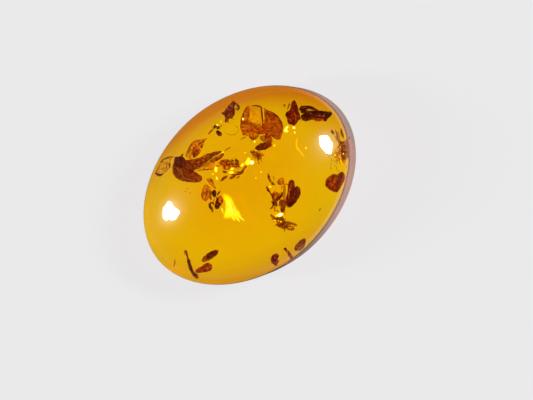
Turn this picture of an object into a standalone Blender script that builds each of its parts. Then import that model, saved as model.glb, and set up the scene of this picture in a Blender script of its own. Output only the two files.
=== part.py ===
"""An oval amber cabochon with plant debris sealed in it, lying on its flat back.

The stone is clear and is parted in two along the layer that holds the debris, so that each
scrap of debris lies in a pocket of its own shape and size. +X is the stone's long axis, +Y runs
across it, +Z is up, and the origin is the middle of the flat back. Sizes are in millimetres until
an object is placed, and MM turns them into metres.
"""

import math

import bmesh
import bpy
import numpy as np
from mathutils import Matrix, Vector

MM = 0.001

# The stone's driving sizes
HALF_LENGTH = 10.05
HALF_WIDTH = 7.4
HEIGHT = 6.8
WALL_HEIGHT = 3.2
BACK_SHARE = 0.98  # the back's size as a share of the wall's top
DOME_FULLNESS = 0.8  # 0 is a shallow cap, 1 is a half ellipse that meets the wall upright
SHOULDER = 0.5  # length of wall that the turn into the dome takes
BACK_EDGE = 0.2  # length of back that the turn into the wall takes
ROUND_STEPS = 44
DOME_RINGS = 6
TURN_POINTS = 3

# The layer that holds the debris, a low dome inside the stone
LAYER_MIDDLE = 3.15
LAYER_DROP = 0.85
PARTING_GAP = 0.3
PARTING_CELL = 1.5  # spacing of the points on the parting surface
POCKET_GAP = 0.3
POCKET_SEGMENTS = 8
POCKET_RINGS = 5
# An ellipsoid of few faces lies inside the true one by up to this share
POCKET_FACET_ROOM = 1.08
ELLIPSE_STEPS = 200

# The line of sight that the debris was measured along. The stone's long axis stood this far
# above the picture's horizontal, and the eye leaned from straight above towards one side.
LONG_AXIS_ON_PICTURE = math.radians(38.9)
SIGHT_LEAN = math.radians(15.0)
SIGHT_SIDE = math.radians(8.0)
SIGHT_HEIGHT = 2.5  # height of the point at the picture's middle
REFRACTIVE_INDEX = 1.54
SETTLING_STEPS = 25

PELLET_SEGMENTS = 8
PELLET_RINGS = 6

# Finishes: colour, roughness and the amount that lets light through
FINISHES = {
    "clear_amber": ((0.90, 0.47, 0.03), 0.05, 0.9),
    "dark_bark": ((0.05, 0.018, 0.008), 0.7, 0.0),
    "brown_husk": ((0.17, 0.05, 0.016), 0.65, 0.0),
    "red_seed": ((0.24, 0.03, 0.012), 0.5, 0.0),
    "orange_leaf": ((0.42, 0.11, 0.014), 0.5, 0.0),
    "pale_leaf": ((0.55, 0.24, 0.03), 0.5, 0.0),
}

# Flat scraps. Each outline is as seen on the picture, in millimetres to the right of and above
# the stone's middle, and thickness is the scrap's own.
SCRAPS = {
    "round_scale": {
        "finish": "orange_leaf",
        "thickness": 0.3,
        "outline": (
            (0.24, 6.68), (0.92, 6.65), (1.97, 6.09), (2.45, 5.82), (2.74, 5.39), (2.91, 4.9),
            (2.88, 4.42), (2.4, 3.8), (1.32, 3.74), (0.14, 3.9), (-0.59, 4.23), (-0.7, 4.6),
            (-0.59, 5.44), (-0.35, 6.3),
        ),
    },
    "pointed_flake": {
        "finish": "red_seed",
        "thickness": 0.35,
        "outline": (
            (3.8, 7.11), (4.07, 6.73), (4.25, 6.1), (4.3, 5.5), (4.01, 5.12), (3.75, 4.96),
            (3.35, 5.12), (3.1, 5.71), (3.12, 6.05), (3.45, 6.3), (3.62, 6.7),
        ),
    },
    "bark_splinter": {
        "finish": "dark_bark",
        "thickness": 0.55,
        "outline": (
            (4.55, 6.45), (4.9, 6.55), (5.46, 6.48), (5.8, 6.28), (6.6, 6.28), (7.0, 5.94),
            (6.51, 5.42), (5.99, 5.35), (5.41, 5.48), (4.9, 5.39), (4.55, 5.52), (4.5, 6.0),
        ),
    },
    "fern_frond": {
        "finish": "brown_husk",
        "thickness": 0.3,
        "outline": (
            (7.1, 4.6), (7.35, 4.05), (7.6, 4.65), (7.8, 4.0), (8.1, 4.2), (8.3, 3.5),
            (8.3, 2.65), (8.05, 2.2), (7.74, 2.45), (7.41, 2.45), (7.45, 3.24),
        ),
    },
    "heart_seed": {
        "finish": "red_seed",
        "thickness": 0.5,
        "outline": (
            (6.48, 0.12), (6.58, 0.44), (6.9, 0.77), (7.29, 0.84), (7.74, 1.02), (8.02, 0.95),
            (8.0, 0.24), (7.8, -0.2), (7.48, -0.7), (7.1, -0.6), (6.7, -0.4), (6.54, -0.14),
        ),
    },
    "ragged_chip": {
        "finish": "brown_husk",
        "thickness": 0.4,
        "outline": (
            (-1.27, 7.07), (-0.87, 6.6), (-0.9, 6.35), (-1.2, 6.4), (-1.25, 5.88), (-1.44, 5.67),
            (-1.71, 5.5), (-1.79, 5.25), (-2.03, 5.28), (-1.98, 5.58), (-2.14, 5.83),
            (-2.34, 6.06), (-2.1, 6.08), (-1.98, 6.39), (-1.84, 6.64),
        ),
    },
    "knotted_bud": {
        "finish": "dark_bark",
        "thickness": 0.3,
        "outline": (
            (-3.45, 4.29), (-3.02, 4.72), (-2.82, 5.05), (-2.62, 4.96), (-2.25, 5.02),
            (-2.45, 4.78), (-2.66, 4.68), (-2.92, 4.62),
        ),
    },
    "bark_crumb": {
        "finish": "dark_bark",
        "thickness": 0.25,
        "outline": (
            (0.3, 2.75), (0.64, 2.68), (0.84, 2.82), (0.94, 2.6), (1.22, 2.45), (0.94, 2.36),
            (0.82, 2.09), (0.68, 2.35), (0.48, 2.45),
        ),
    },
    "bud_head": {
        "finish": "brown_husk",
        "thickness": 0.6,
        "outline": (
            (-6.36, 1.57), (-6.36, 1.98), (-6.15, 2.3), (-5.82, 2.35), (-5.5, 2.26),
            (-5.28, 2.0), (-5.2, 1.55), (-5.41, 1.25), (-5.25, 0.92), (-4.87, 0.58),
            (-4.47, 0.26), (-4.97, 0.26), (-5.5, 0.36), (-5.99, 0.6), (-6.25, 0.92),
        ),
    },
    "flower_stalk": {
        "finish": "brown_husk",
        "thickness": 0.35,
        "outline": (
            (-5.0, 1.94), (-4.15, 2.16), (-3.61, 2.48), (-2.96, 2.7), (-2.42, 2.86),
            (-2.06, 2.86), (-2.53, 2.21), (-3.06, 2.03), (-3.61, 1.89), (-3.83, 1.6),
            (-4.26, 1.42), (-4.78, 1.5),
        ),
    },
    "wing_leaf": {
        "finish": "orange_leaf",
        "thickness": 0.2,
        "outline": (
            (-3.5, 3.91), (-3.82, 3.4), (-3.88, 2.97), (-4.09, 2.65), (-4.47, 2.42),
            (-4.93, 2.32), (-5.34, 2.52), (-5.28, 2.86), (-5.07, 3.24), (-4.69, 3.56),
            (-4.26, 3.77), (-3.88, 3.88),
        ),
    },
    "pale_bract": {
        "finish": "pale_leaf",
        "thickness": 0.2,
        "outline": (
            (-6.55, 2.28), (-6.79, 2.32), (-7.17, 2.11), (-7.49, 1.84), (-7.68, 1.41),
            (-7.8, 1.06), (-7.54, 0.82), (-7.17, 0.87), (-6.84, 1.14), (-6.63, 1.51),
        ),
    },
    "lacy_husk": {
        "finish": "dark_bark",
        "thickness": 0.3,
        "outline": (
            (-2.42, 1.89), (-2.1, 2.05), (-1.67, 2.05), (-1.19, 2.11), (-0.89, 1.89),
            (-0.76, 1.62), (-1.09, 1.43), (-1.62, 1.27), (-1.94, 1.32), (-2.24, 1.57),
        ),
    },
    "brown_bract": {
        "finish": "brown_husk",
        "thickness": 0.2,
        "outline": (
            (-3.58, 0.47), (-3.23, 0.51), (-3.03, 0.24), (-2.99, 0.03), (-2.88, -0.22),
            (-3.17, 0.0), (-3.42, 0.22),
        ),
    },
    "orange_seed": {
        "finish": "orange_leaf",
        "thickness": 0.35,
        "outline": (
            (-3.75, -0.15), (-3.55, -0.3), (-3.32, -0.44), (-3.22, -0.73), (-3.37, -1.06),
            (-3.6, -1.4), (-3.78, -1.38), (-3.91, -1.17), (-3.96, -0.8), (-3.9, -0.35),
        ),
    },
    "husk_shard": {
        "finish": "dark_bark",
        "thickness": 0.2,
        "outline": (
            (-3.33, -1.76), (-3.2, -1.53), (-3.04, -1.7), (-3.06, -1.92), (-3.0, -2.14),
            (-3.1, -2.37), (-3.26, -1.95),
        ),
    },
    "red_pod": {
        "finish": "red_seed",
        "thickness": 0.55,
        "outline": (
            (3.57, 0.38), (3.82, 0.22), (3.9, -0.22), (4.14, -0.12), (4.32, -0.52),
            (4.25, -0.81), (3.98, -1.3), (3.79, -1.68), (3.61, -1.83), (3.38, -1.7),
            (3.27, -1.17), (3.24, -0.62), (3.35, -0.08),
        ),
    },
    "forked_splinter": {
        "finish": "dark_bark",
        "thickness": 0.25,
        "outline": (
            (1.44, -0.21), (1.68, -0.62), (1.95, -0.93), (2.11, -1.28), (2.3, -1.31),
            (2.45, -1.15), (2.52, -1.25), (2.35, -1.52), (2.05, -1.82), (1.8, -2.06),
            (1.72, -1.92), (1.95, -1.6), (1.84, -1.15), (1.5, -0.73),
        ),
    },
    "pale_lobes": {
        "finish": "pale_leaf",
        "thickness": 0.2,
        "outline": (
            (2.7, 0.55), (2.93, 0.32), (2.87, 0.05), (3.06, -0.1), (3.04, -0.44), (2.9, -0.6),
            (2.72, -0.4), (2.47, 0.05), (2.44, 0.35),
        ),
    },
    "brown_crumb": {
        "finish": "brown_husk",
        "thickness": 0.3,
        "outline": (
            (2.6, -1.62), (2.68, -1.44), (2.93, -1.4), (3.1, -1.58), (3.08, -1.83),
            (2.96, -1.96), (3.01, -2.25), (2.85, -2.31), (2.66, -2.17), (2.66, -1.9),
        ),
    },
    "root_tuft": {
        "finish": "brown_husk",
        "thickness": 0.35,
        "outline": (
            (1.83, -2.58), (2.4, -2.8), (2.93, -2.85), (2.96, -3.23), (3.76, -3.3),
            (4.06, -3.49), (3.45, -3.79), (3.06, -3.71), (2.95, -3.98), (2.83, -3.64),
            (2.29, -3.38), (2.36, -3.07), (2.03, -2.92),
        ),
    },
    "curved_seed": {
        "finish": "red_seed",
        "thickness": 0.4,
        "outline": (
            (2.15, -5.8), (2.4, -5.86), (2.47, -6.08), (2.26, -6.25), (2.5, -6.4),
            (2.43, -6.58), (2.19, -6.77), (2.0, -6.7), (1.87, -6.5), (1.86, -6.2), (1.95, -5.95),
        ),
    },
}

# Plump seeds and droppings: the two ends as seen, then the width and thickness
PELLETS = {
    "tiny_seed": {"finish": "dark_bark", "ends": ((-2.75, 4.53), (-2.3, 4.19)), "width": 0.28},
    "rod_pellet": {"finish": "dark_bark", "ends": ((0.5, 2.99), (1.95, 3.45)), "width": 0.5},
    "seed_lobe": {"finish": "brown_husk", "ends": ((-5.02, 1.17), (-4.0, 0.42)), "width": 0.5},
    "black_seed": {"finish": "dark_bark", "ends": ((-2.92, -0.48), (-2.96, -1.04)), "width": 0.28},
    "two_tone_seed": {"finish": "red_seed", "ends": ((-2.4, -1.0), (-2.74, -2.06)), "width": 0.48},
    "dark_pellet": {"finish": "dark_bark", "ends": ((-3.95, -6.43), (-2.6, -5.54)), "width": 0.5},
    "red_pellet": {"finish": "red_seed", "ends": ((-4.5, -7.1), (-3.1, -6.7)), "width": 0.56},
    "oval_pellet": {"finish": "brown_husk", "ends": ((3.95, -5.4), (4.68, -4.58)), "width": 0.58},
}

# Thin round pieces: the middle line as seen, with the radius at each point
STICKS = {
    "twig": {
        "finish": "dark_bark",
        "path": ((-5.31, -5.69), (-5.12, -6.15), (-5.02, -6.66), (-4.9, -7.02), (-4.72, -7.3)),
        "radii": (0.06, 0.1, 0.16, 0.15, 0.15),
    },
    "bark_sliver": {
        "finish": "brown_husk",
        "path": ((-6.31, -6.31), (-6.24, -6.53), (-6.3, -6.88)),
        "radii": (0.05, 0.06, 0.05),
    },
    "knobbed_rod": {
        "finish": "brown_husk",
        "path": ((3.05, -5.44), (3.16, -5.58), (3.24, -5.62), (3.58, -6.1)),
        "radii": (0.13, 0.13, 0.11, 0.13),
    },
    "thin_splinter": {
        "finish": "dark_bark",
        "path": ((1.65, 0.92), (1.76, 0.35), (2.09, 0.07)),
        "radii": (0.05, 0.07, 0.06),
    },
    "husk_strip": {
        "finish": "brown_husk",
        "path": ((-0.25, 1.4), (-0.52, 1.15), (-0.7, 0.94), (-1.08, 0.74), (-1.5, 0.57)),
        "radii": (0.05, 0.07, 0.06, 0.08, 0.05),
    },
    "husk_sliver": {
        "finish": "brown_husk",
        "path": ((-2.4, 0.33), (-2.15, 0.52), (-1.89, 0.71)),
        "radii": (0.06, 0.07, 0.05),
    },
}
STICK_BEVEL_RESOLUTION = 1


def clear_scene():
    """Removes what the scene already holds."""
    for obj in list(bpy.data.objects):
        bpy.data.objects.remove(obj, do_unlink=True)


def new_collection(name, parent):
    """A collection inside another."""
    collection = bpy.data.collections.new(name)
    parent.children.link(collection)
    return collection


def finish_material(name):
    """The Principled material of a named finish, made once."""
    found = bpy.data.materials.get(name)
    if found:
        return found
    colour, roughness, transmission = FINISHES[name]
    material = bpy.data.materials.new(name)
    material.use_nodes = True
    shader = material.node_tree.nodes["Principled BSDF"]
    shader.inputs["Base Color"].default_value = (*colour, 1.0)
    shader.inputs["Roughness"].default_value = roughness
    shader.inputs["Metallic"].default_value = 0.0
    shader.inputs["Transmission Weight"].default_value = transmission
    shader.inputs["IOR"].default_value = REFRACTIVE_INDEX
    return material


# The stone's form

def share_of_rim(x, y):
    """How far out a point lies: 0 at the middle, 1 at the rim."""
    return math.hypot(x / HALF_LENGTH, y / HALF_WIDTH)


def dome_at(out):
    """Height of the dome at a share of the way out: a flat-topped elliptic cap."""
    edge = math.sqrt(1 - DOME_FULLNESS**2)
    cap = (math.sqrt(1 - (DOME_FULLNESS * min(out, 1.0)) ** 2) - edge) / (1 - edge)
    return WALL_HEIGHT + (HEIGHT - WALL_HEIGHT) * cap


def dome_height(x, y):
    """Height of the dome's surface over a point."""
    return dome_at(share_of_rim(x, y))


def layer_height(x, y):
    """Height of the debris layer over a point."""
    return LAYER_MIDDLE - LAYER_DROP * share_of_rim(x, y) ** 2


def normal_of(height, x, y):
    """The upward normal of a surface that a height function gives."""
    step = 0.01
    slope_x = (height(x + step, y) - height(x - step, y)) / (2 * step)
    slope_y = (height(x, y + step) - height(x, y - step)) / (2 * step)
    return Vector((-slope_x, -slope_y, 1.0)).normalized()


def turn(before, corner, after):
    """Points on the soft turn from one point to another round a corner."""
    points = []
    for step in range(TURN_POINTS + 1):
        t = step / TURN_POINTS
        point = before * (1 - t) ** 2 + corner * (2 * t * (1 - t)) + after * t**2
        points.append(point)
    return points


def stone_profile():
    """The stone's half outline along its length, from the top down to the middle of the back."""
    wall_top = Vector((HALF_LENGTH, WALL_HEIGHT))
    back_rim = Vector((HALF_LENGTH * BACK_SHARE, 0.0))
    wall = (back_rim - wall_top).normalized()
    dome_share = 1 - SHOULDER * 0.075
    points = [Vector((0.0, HEIGHT))]
    last_angle = math.asin(DOME_FULLNESS * dome_share)
    for ring in range(1, DOME_RINGS):
        out = math.sin(last_angle * ring / DOME_RINGS) / DOME_FULLNESS
        points.append(Vector((HALF_LENGTH * out, dome_at(out))))
    dome_end = Vector((HALF_LENGTH * dome_share, dome_at(dome_share)))
    points += turn(dome_end, wall_top, wall_top + wall * SHOULDER)
    points += turn(back_rim - wall * BACK_EDGE, back_rim, back_rim - Vector((BACK_EDGE, 0.0)))
    points.append(Vector((0.0, 0.0)))
    return points


def oval_stone(name, collection):
    """The whole stone: its profile turned about Z, then drawn in across to the oval."""
    points = stone_profile()
    mesh = bpy.data.meshes.new(name)
    vertices = [(point.x * MM, 0.0, point.y * MM) for point in points]
    edges = [(i, i + 1) for i in range(len(points) - 1)]
    mesh.from_pydata(vertices, edges, [])
    profile = bpy.data.objects.new(name + "_profile", mesh)
    collection.objects.link(profile)
    screw = profile.modifiers.new("Turn", "SCREW")
    screw.axis = "Z"
    screw.angle = 2 * math.pi
    screw.steps = ROUND_STEPS
    screw.render_steps = ROUND_STEPS
    screw.use_merge_vertices = True
    screw.merge_threshold = 0.00001
    bpy.context.view_layer.update()
    graph = bpy.context.evaluated_depsgraph_get()
    turned = bpy.data.meshes.new_from_object(profile.evaluated_get(graph))
    turned.transform(Matrix.Diagonal((1.0, HALF_WIDTH / HALF_LENGTH, 1.0, 1.0)))
    bpy.data.objects.remove(profile, do_unlink=True)
    stone = bpy.data.objects.new(name, turned)
    collection.objects.link(stone)
    return stone


def parting_cutter(name, side, collection):
    """The block above (side 1) or below (side -1) the debris layer, half the gap over it."""
    half_x = HALF_LENGTH + 2.0
    half_y = HALF_WIDTH + 2.0
    form = bmesh.new()
    bmesh.ops.create_grid(
        form,
        x_segments=round(2 * half_x / PARTING_CELL),
        y_segments=round(2 * half_y / PARTING_CELL),
        size=1.0,
    )
    for vertex in form.verts:
        x = vertex.co.x * half_x
        y = vertex.co.y * half_y
        height = layer_height(x, y) - side * PARTING_GAP / 2
        vertex.co = Vector((x, y, height)) * MM
    layer = list(form.faces)
    raised = bmesh.ops.extrude_face_region(form, geom=layer)["geom"]
    for vertex in raised:
        if isinstance(vertex, bmesh.types.BMVert):
            vertex.co.z = side * (HEIGHT + 4.0) * MM
    bmesh.ops.recalc_face_normals(form, faces=form.faces)
    mesh = bpy.data.meshes.new(name)
    form.to_mesh(mesh)
    form.free()
    cutter = bpy.data.objects.new(name, mesh)
    cutter.hide_render = True
    cutter.display_type = "WIRE"
    collection.objects.link(cutter)
    return cutter


# Where a thing truly lies that is seen through the dome

def picture_axes():
    """The picture's right and up, and the direction towards the eye, in the stone's frame."""
    level_right = Vector((math.cos(LONG_AXIS_ON_PICTURE), -math.sin(LONG_AXIS_ON_PICTURE), 0.0))
    level_up = Vector((-level_right.y, level_right.x, 0.0))
    side = level_right * math.cos(SIGHT_SIDE) + level_up * math.sin(SIGHT_SIDE)
    eye = Vector((0.0, 0.0, math.cos(SIGHT_LEAN))) + side * math.sin(SIGHT_LEAN)
    up = (level_up - eye * level_up.dot(eye)).normalized()
    return up.cross(eye), up, eye


def meet(start, ray, height):
    """Where a ray that goes down meets a surface that a height function gives."""
    point = start.copy()
    for _ in range(SETTLING_STEPS):
        drop = (height(point.x, point.y) - point.z) / ray.z
        point = point + ray * drop
    return point


def refracted(ray, normal):
    """The ray's direction once it is in the amber, by Snell's law."""
    ratio = 1 / REFRACTIVE_INDEX
    cosine = -ray.dot(normal)
    inner = math.sqrt(1 - ratio**2 * (1 - cosine**2))
    return (ray * ratio + normal * (ratio * cosine - inner)).normalized()


def under_dome(seen):
    """The place in the debris layer that shows through the dome at a point of the picture."""
    right, up, eye = picture_axes()
    start = right * seen[0] + up * seen[1] + Vector((0.0, 0.0, SIGHT_HEIGHT))
    surface = meet(start, -eye, dome_height)
    ray = refracted(-eye, normal_of(dome_height, surface.x, surface.y))
    return meet(surface, ray, layer_height)


# The debris

def lie_in_layer(obj, centre):
    """Puts an object at a place in the layer, tilted as the layer is there."""
    normal = normal_of(layer_height, centre.x, centre.y)
    tilt = Vector((0.0, 0.0, 1.0)).rotation_difference(normal)
    obj.location = centre * MM
    obj.rotation_mode = "QUATERNION"
    obj.rotation_quaternion = tilt


def scrap(name, spec, collection):
    """A flat scrap: its outline as a filled curve, half its thickness to each side."""
    places = [under_dome(seen) for seen in spec["outline"]]
    centre = sum(places, Vector()) / len(places)
    centre.z = layer_height(centre.x, centre.y)
    offsets = [place - centre for place in places]
    curve = bpy.data.curves.new(name, "CURVE")
    curve.dimensions = "2D"
    curve.fill_mode = "BOTH"
    curve.extrude = spec["thickness"] / 2 * MM
    line = curve.splines.new("POLY")
    line.points.add(len(offsets) - 1)
    for point, offset in zip(line.points, offsets):
        point.co = (offset.x * MM, offset.y * MM, 0.0, 1.0)
    line.use_cyclic_u = True
    curve.materials.append(finish_material(spec["finish"]))
    obj = bpy.data.objects.new(name, curve)
    collection.objects.link(obj)
    lie_in_layer(obj, centre)
    return centre, offsets, 0.0, spec["thickness"]


def pellet(name, spec, collection):
    """A plump seed or dropping: a sphere drawn out to its length, width and thickness."""
    first, last = (under_dome(seen) for seen in spec["ends"])
    centre = (first + last) / 2
    centre.z = layer_height(centre.x, centre.y)
    along = last - first
    heading = math.atan2(along.y, along.x)
    half = (math.hypot(along.x, along.y) / 2, spec["width"] / 2, spec["width"] / 2)
    form = bmesh.new()
    bmesh.ops.create_uvsphere(
        form, u_segments=PELLET_SEGMENTS, v_segments=PELLET_RINGS, radius=1.0
    )
    # The poles go to the two ends, so that the rings run round the pellet
    form.transform(Matrix.Rotation(math.pi / 2, 4, "Y"))
    form.transform(Matrix.Diagonal((*(value * MM for value in half), 1.0)))
    form.transform(Matrix.Rotation(heading, 4, "Z"))
    mesh = bpy.data.meshes.new(name)
    form.to_mesh(mesh)
    form.free()
    mesh.shade_smooth()
    mesh.materials.append(finish_material(spec["finish"]))
    obj = bpy.data.objects.new(name, mesh)
    collection.objects.link(obj)
    lie_in_layer(obj, centre)
    outline = []
    for step in range(POCKET_SEGMENTS):
        angle = 2 * math.pi * step / POCKET_SEGMENTS
        point = Vector((half[0] * math.cos(angle), half[1] * math.sin(angle), 0.0))
        outline.append(Matrix.Rotation(heading, 3, "Z") @ point)
    return centre, outline, 0.0, spec["width"]


def stick(name, spec, collection):
    """A thin round piece: a curve along its middle line with its own radius at each point."""
    places = [under_dome(seen) for seen in spec["path"]]
    centre = sum(places, Vector()) / len(places)
    centre.z = layer_height(centre.x, centre.y)
    offsets = [place - centre for place in places]
    curve = bpy.data.curves.new(name, "CURVE")
    curve.dimensions = "3D"
    curve.bevel_depth = MM
    curve.bevel_resolution = STICK_BEVEL_RESOLUTION
    curve.use_fill_caps = True
    line = curve.splines.new("POLY")
    line.points.add(len(offsets) - 1)
    for point, offset, radius in zip(line.points, offsets, spec["radii"]):
        point.co = (offset.x * MM, offset.y * MM, 0.0, 1.0)
        point.radius = radius
    curve.materials.append(finish_material(spec["finish"]))
    obj = bpy.data.objects.new(name, curve)
    collection.objects.link(obj)
    lie_in_layer(obj, centre)
    widest = max(spec["radii"])
    return centre, offsets, widest, 2 * widest


def tight_ellipse(points):
    """The smallest ellipse that holds flat points: its middle, half length, half width and heading.

    Each step moves weight to the point that lies furthest out of the present ellipse.
    """
    flat = np.array([(point.x, point.y) for point in points])
    lifted = np.column_stack([flat, np.ones(len(flat))])
    weight = np.full(len(flat), 1 / len(flat))
    for _ in range(ELLIPSE_STEPS):
        spread = lifted.T @ (lifted * weight[:, None])
        out = np.einsum("ij,jk,ik->i", lifted, np.linalg.inv(spread), lifted)
        far = int(np.argmax(out))
        share = (out[far] - 3) / (3 * (out[far] - 1))
        weight *= 1 - share
        weight[far] += share
    middle = weight @ flat
    form = flat.T @ (flat * weight[:, None]) - np.outer(middle, middle)
    sizes, axes = np.linalg.eigh(2 * form)
    half_width, half_length = np.sqrt(sizes)
    heading = math.atan2(axes[1, 1], axes[0, 1])
    return Vector((middle[0], middle[1], 0.0)), half_length, half_width, heading


def pocket(name, centre, outline, radius, thickness, collection):
    """The ellipsoid round one piece of debris, cut out of both halves of the stone."""
    middle, half_length, half_width, heading = tight_ellipse(outline)
    room = radius + POCKET_GAP
    # A flat piece reaches out to the pocket's edge, so the pocket is deeper than the piece
    size = (
        (half_length + room) * POCKET_FACET_ROOM,
        (half_width + room) * POCKET_FACET_ROOM,
        thickness / 2 + POCKET_GAP * 1.5,
    )
    form = bmesh.new()
    bmesh.ops.create_uvsphere(
        form, u_segments=POCKET_SEGMENTS, v_segments=POCKET_RINGS, radius=1.0
    )
    form.transform(Matrix.Diagonal((*(value * MM for value in size), 1.0)))
    form.transform(Matrix.Rotation(heading, 4, "Z"))
    mesh = bpy.data.meshes.new(name)
    form.to_mesh(mesh)
    form.free()
    cutter = bpy.data.objects.new(name, mesh)
    cutter.hide_render = True
    cutter.display_type = "WIRE"
    collection.objects.link(cutter)
    place = centre + middle
    place.z = layer_height(place.x, place.y)
    lie_in_layer(cutter, place)


def half_stone(name, parting, pockets, collection):
    """One half of the stone: the whole stone less the other side and less every pocket."""
    half = oval_stone(name, collection)
    side = half.modifiers.new("Parting", "BOOLEAN")
    side.operation = "DIFFERENCE"
    side.solver = "EXACT"
    side.object = parting
    hollows = half.modifiers.new("Pockets", "BOOLEAN")
    hollows.operation = "DIFFERENCE"
    hollows.solver = "EXACT"
    hollows.operand_type = "COLLECTION"
    hollows.collection = pockets
    half.data.materials.append(finish_material("clear_amber"))
    half.data.shade_smooth()
    half.data.set_sharp_from_angle(angle=math.radians(35))
    return half


def main():
    """Builds the debris, its pockets and the two halves of the stone."""
    clear_scene()
    root = bpy.context.scene.collection
    stone = new_collection("amber_stone", root)
    cutters = new_collection("cutters", root)
    pockets = new_collection("pockets", cutters)
    makers = ((SCRAPS, scrap), (PELLETS, pellet), (STICKS, stick))
    for specs, make in makers:
        for name, spec in specs.items():
            centre, outline, radius, thickness = make(name, spec, stone)
            pocket(name + "_pocket", centre, outline, radius, thickness, pockets)
    above = parting_cutter("above_layer", 1, cutters)
    below = parting_cutter("below_layer", -1, cutters)
    half_stone("amber_top", below, pockets, stone)
    half_stone("amber_back", above, pockets, stone)


main()
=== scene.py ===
"""The looks of an oval amber cabochon with plant debris sealed in it, lying on its flat back.

The clear stone is one closed surface that stands for the two halves of the frame. Each scrap of
debris is a fine mesh in the place of its node: a blade whose rim is drawn on the picture, or a
strand whose middle line is drawn there. Both are carried through the dome, by the law of
refraction, to the layer of the stone where the debris lies. Places on the picture are in its
pixels, 533 across and 400 down, and every other size is in millimetres until a mesh is made.
"""

import logging
import math
from collections.abc import Callable, Mapping, Sequence
from dataclasses import dataclass, field, replace
from enum import Enum
from typing import Any

import bpy
import numpy as np
from mathutils import Matrix, Vector


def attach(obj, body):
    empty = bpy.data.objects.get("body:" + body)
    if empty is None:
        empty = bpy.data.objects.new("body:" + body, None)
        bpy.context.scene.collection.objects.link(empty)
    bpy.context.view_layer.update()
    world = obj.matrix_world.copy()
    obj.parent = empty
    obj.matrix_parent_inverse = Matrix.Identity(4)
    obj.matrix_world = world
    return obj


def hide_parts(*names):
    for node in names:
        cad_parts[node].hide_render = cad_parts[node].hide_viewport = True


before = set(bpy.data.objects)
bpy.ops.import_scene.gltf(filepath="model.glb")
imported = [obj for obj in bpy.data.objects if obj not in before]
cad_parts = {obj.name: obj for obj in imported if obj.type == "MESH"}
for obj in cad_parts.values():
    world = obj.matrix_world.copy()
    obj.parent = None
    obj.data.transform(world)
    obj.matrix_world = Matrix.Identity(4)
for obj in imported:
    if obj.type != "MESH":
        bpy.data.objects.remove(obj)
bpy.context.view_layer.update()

log = logging.getLogger("amber_stone")

Array = np.ndarray
Colour = tuple[float, float, float]
Pixels = tuple[float, ...]  # places on the picture: across and down, in turn
Height = Callable[[Array, Array], Array]
Relief = Callable[[Array, Array, Array], Array]

MM = 0.001
PICTURE_WIDTH = 533
PICTURE_HEIGHT = 400
PICTURE_SPAN = 45.0  # millimetres across the picture, at the stone
PIXEL = PICTURE_SPAN / PICTURE_WIDTH
STONE_MIDDLE = (247.48, 185.11)  # where the stone's sight point shows on the picture


class Slot(Enum):
    """The record's material slots."""

    AMBER = "clear_amber"
    BARK = "dark_bark"
    HUSK = "brown_husk"
    SEED = "red_seed"
    LEAF = "orange_leaf"
    PALE = "pale_leaf"


# Shaders


class Level:
    """A shader socket that takes part in plain arithmetic, adding its Math nodes."""

    def __init__(self, graph: "Graph", socket: bpy.types.NodeSocket) -> None:
        """Wraps a socket of a graph."""
        self.graph = graph
        self.socket = socket

    def __add__(self, other: "Level | float") -> "Level":
        """The sum."""
        return self.graph.math("ADD", self, other)

    def __sub__(self, other: "Level | float") -> "Level":
        """The difference."""
        return self.graph.math("SUBTRACT", self, other)

    def __rsub__(self, other: float) -> "Level":
        """The difference, the other way round."""
        return self.graph.math("SUBTRACT", other, self)

    def __mul__(self, other: "Level | float") -> "Level":
        """The product."""
        return self.graph.math("MULTIPLY", self, other)

    def __pow__(self, other: float) -> "Level":
        """The power."""
        return self.graph.math("POWER", self, other)

    __radd__ = __add__
    __rmul__ = __mul__

    def clamped(self) -> "Level":
        """The value held between 0 and 1."""
        return self.graph.math("MAXIMUM", self.graph.math("MINIMUM", self, 1.0), 0.0)

    def beside(self, output: str | int) -> "Level":
        """Another output of the same node."""
        return Level(self.graph, self.socket.node.outputs[output])


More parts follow.
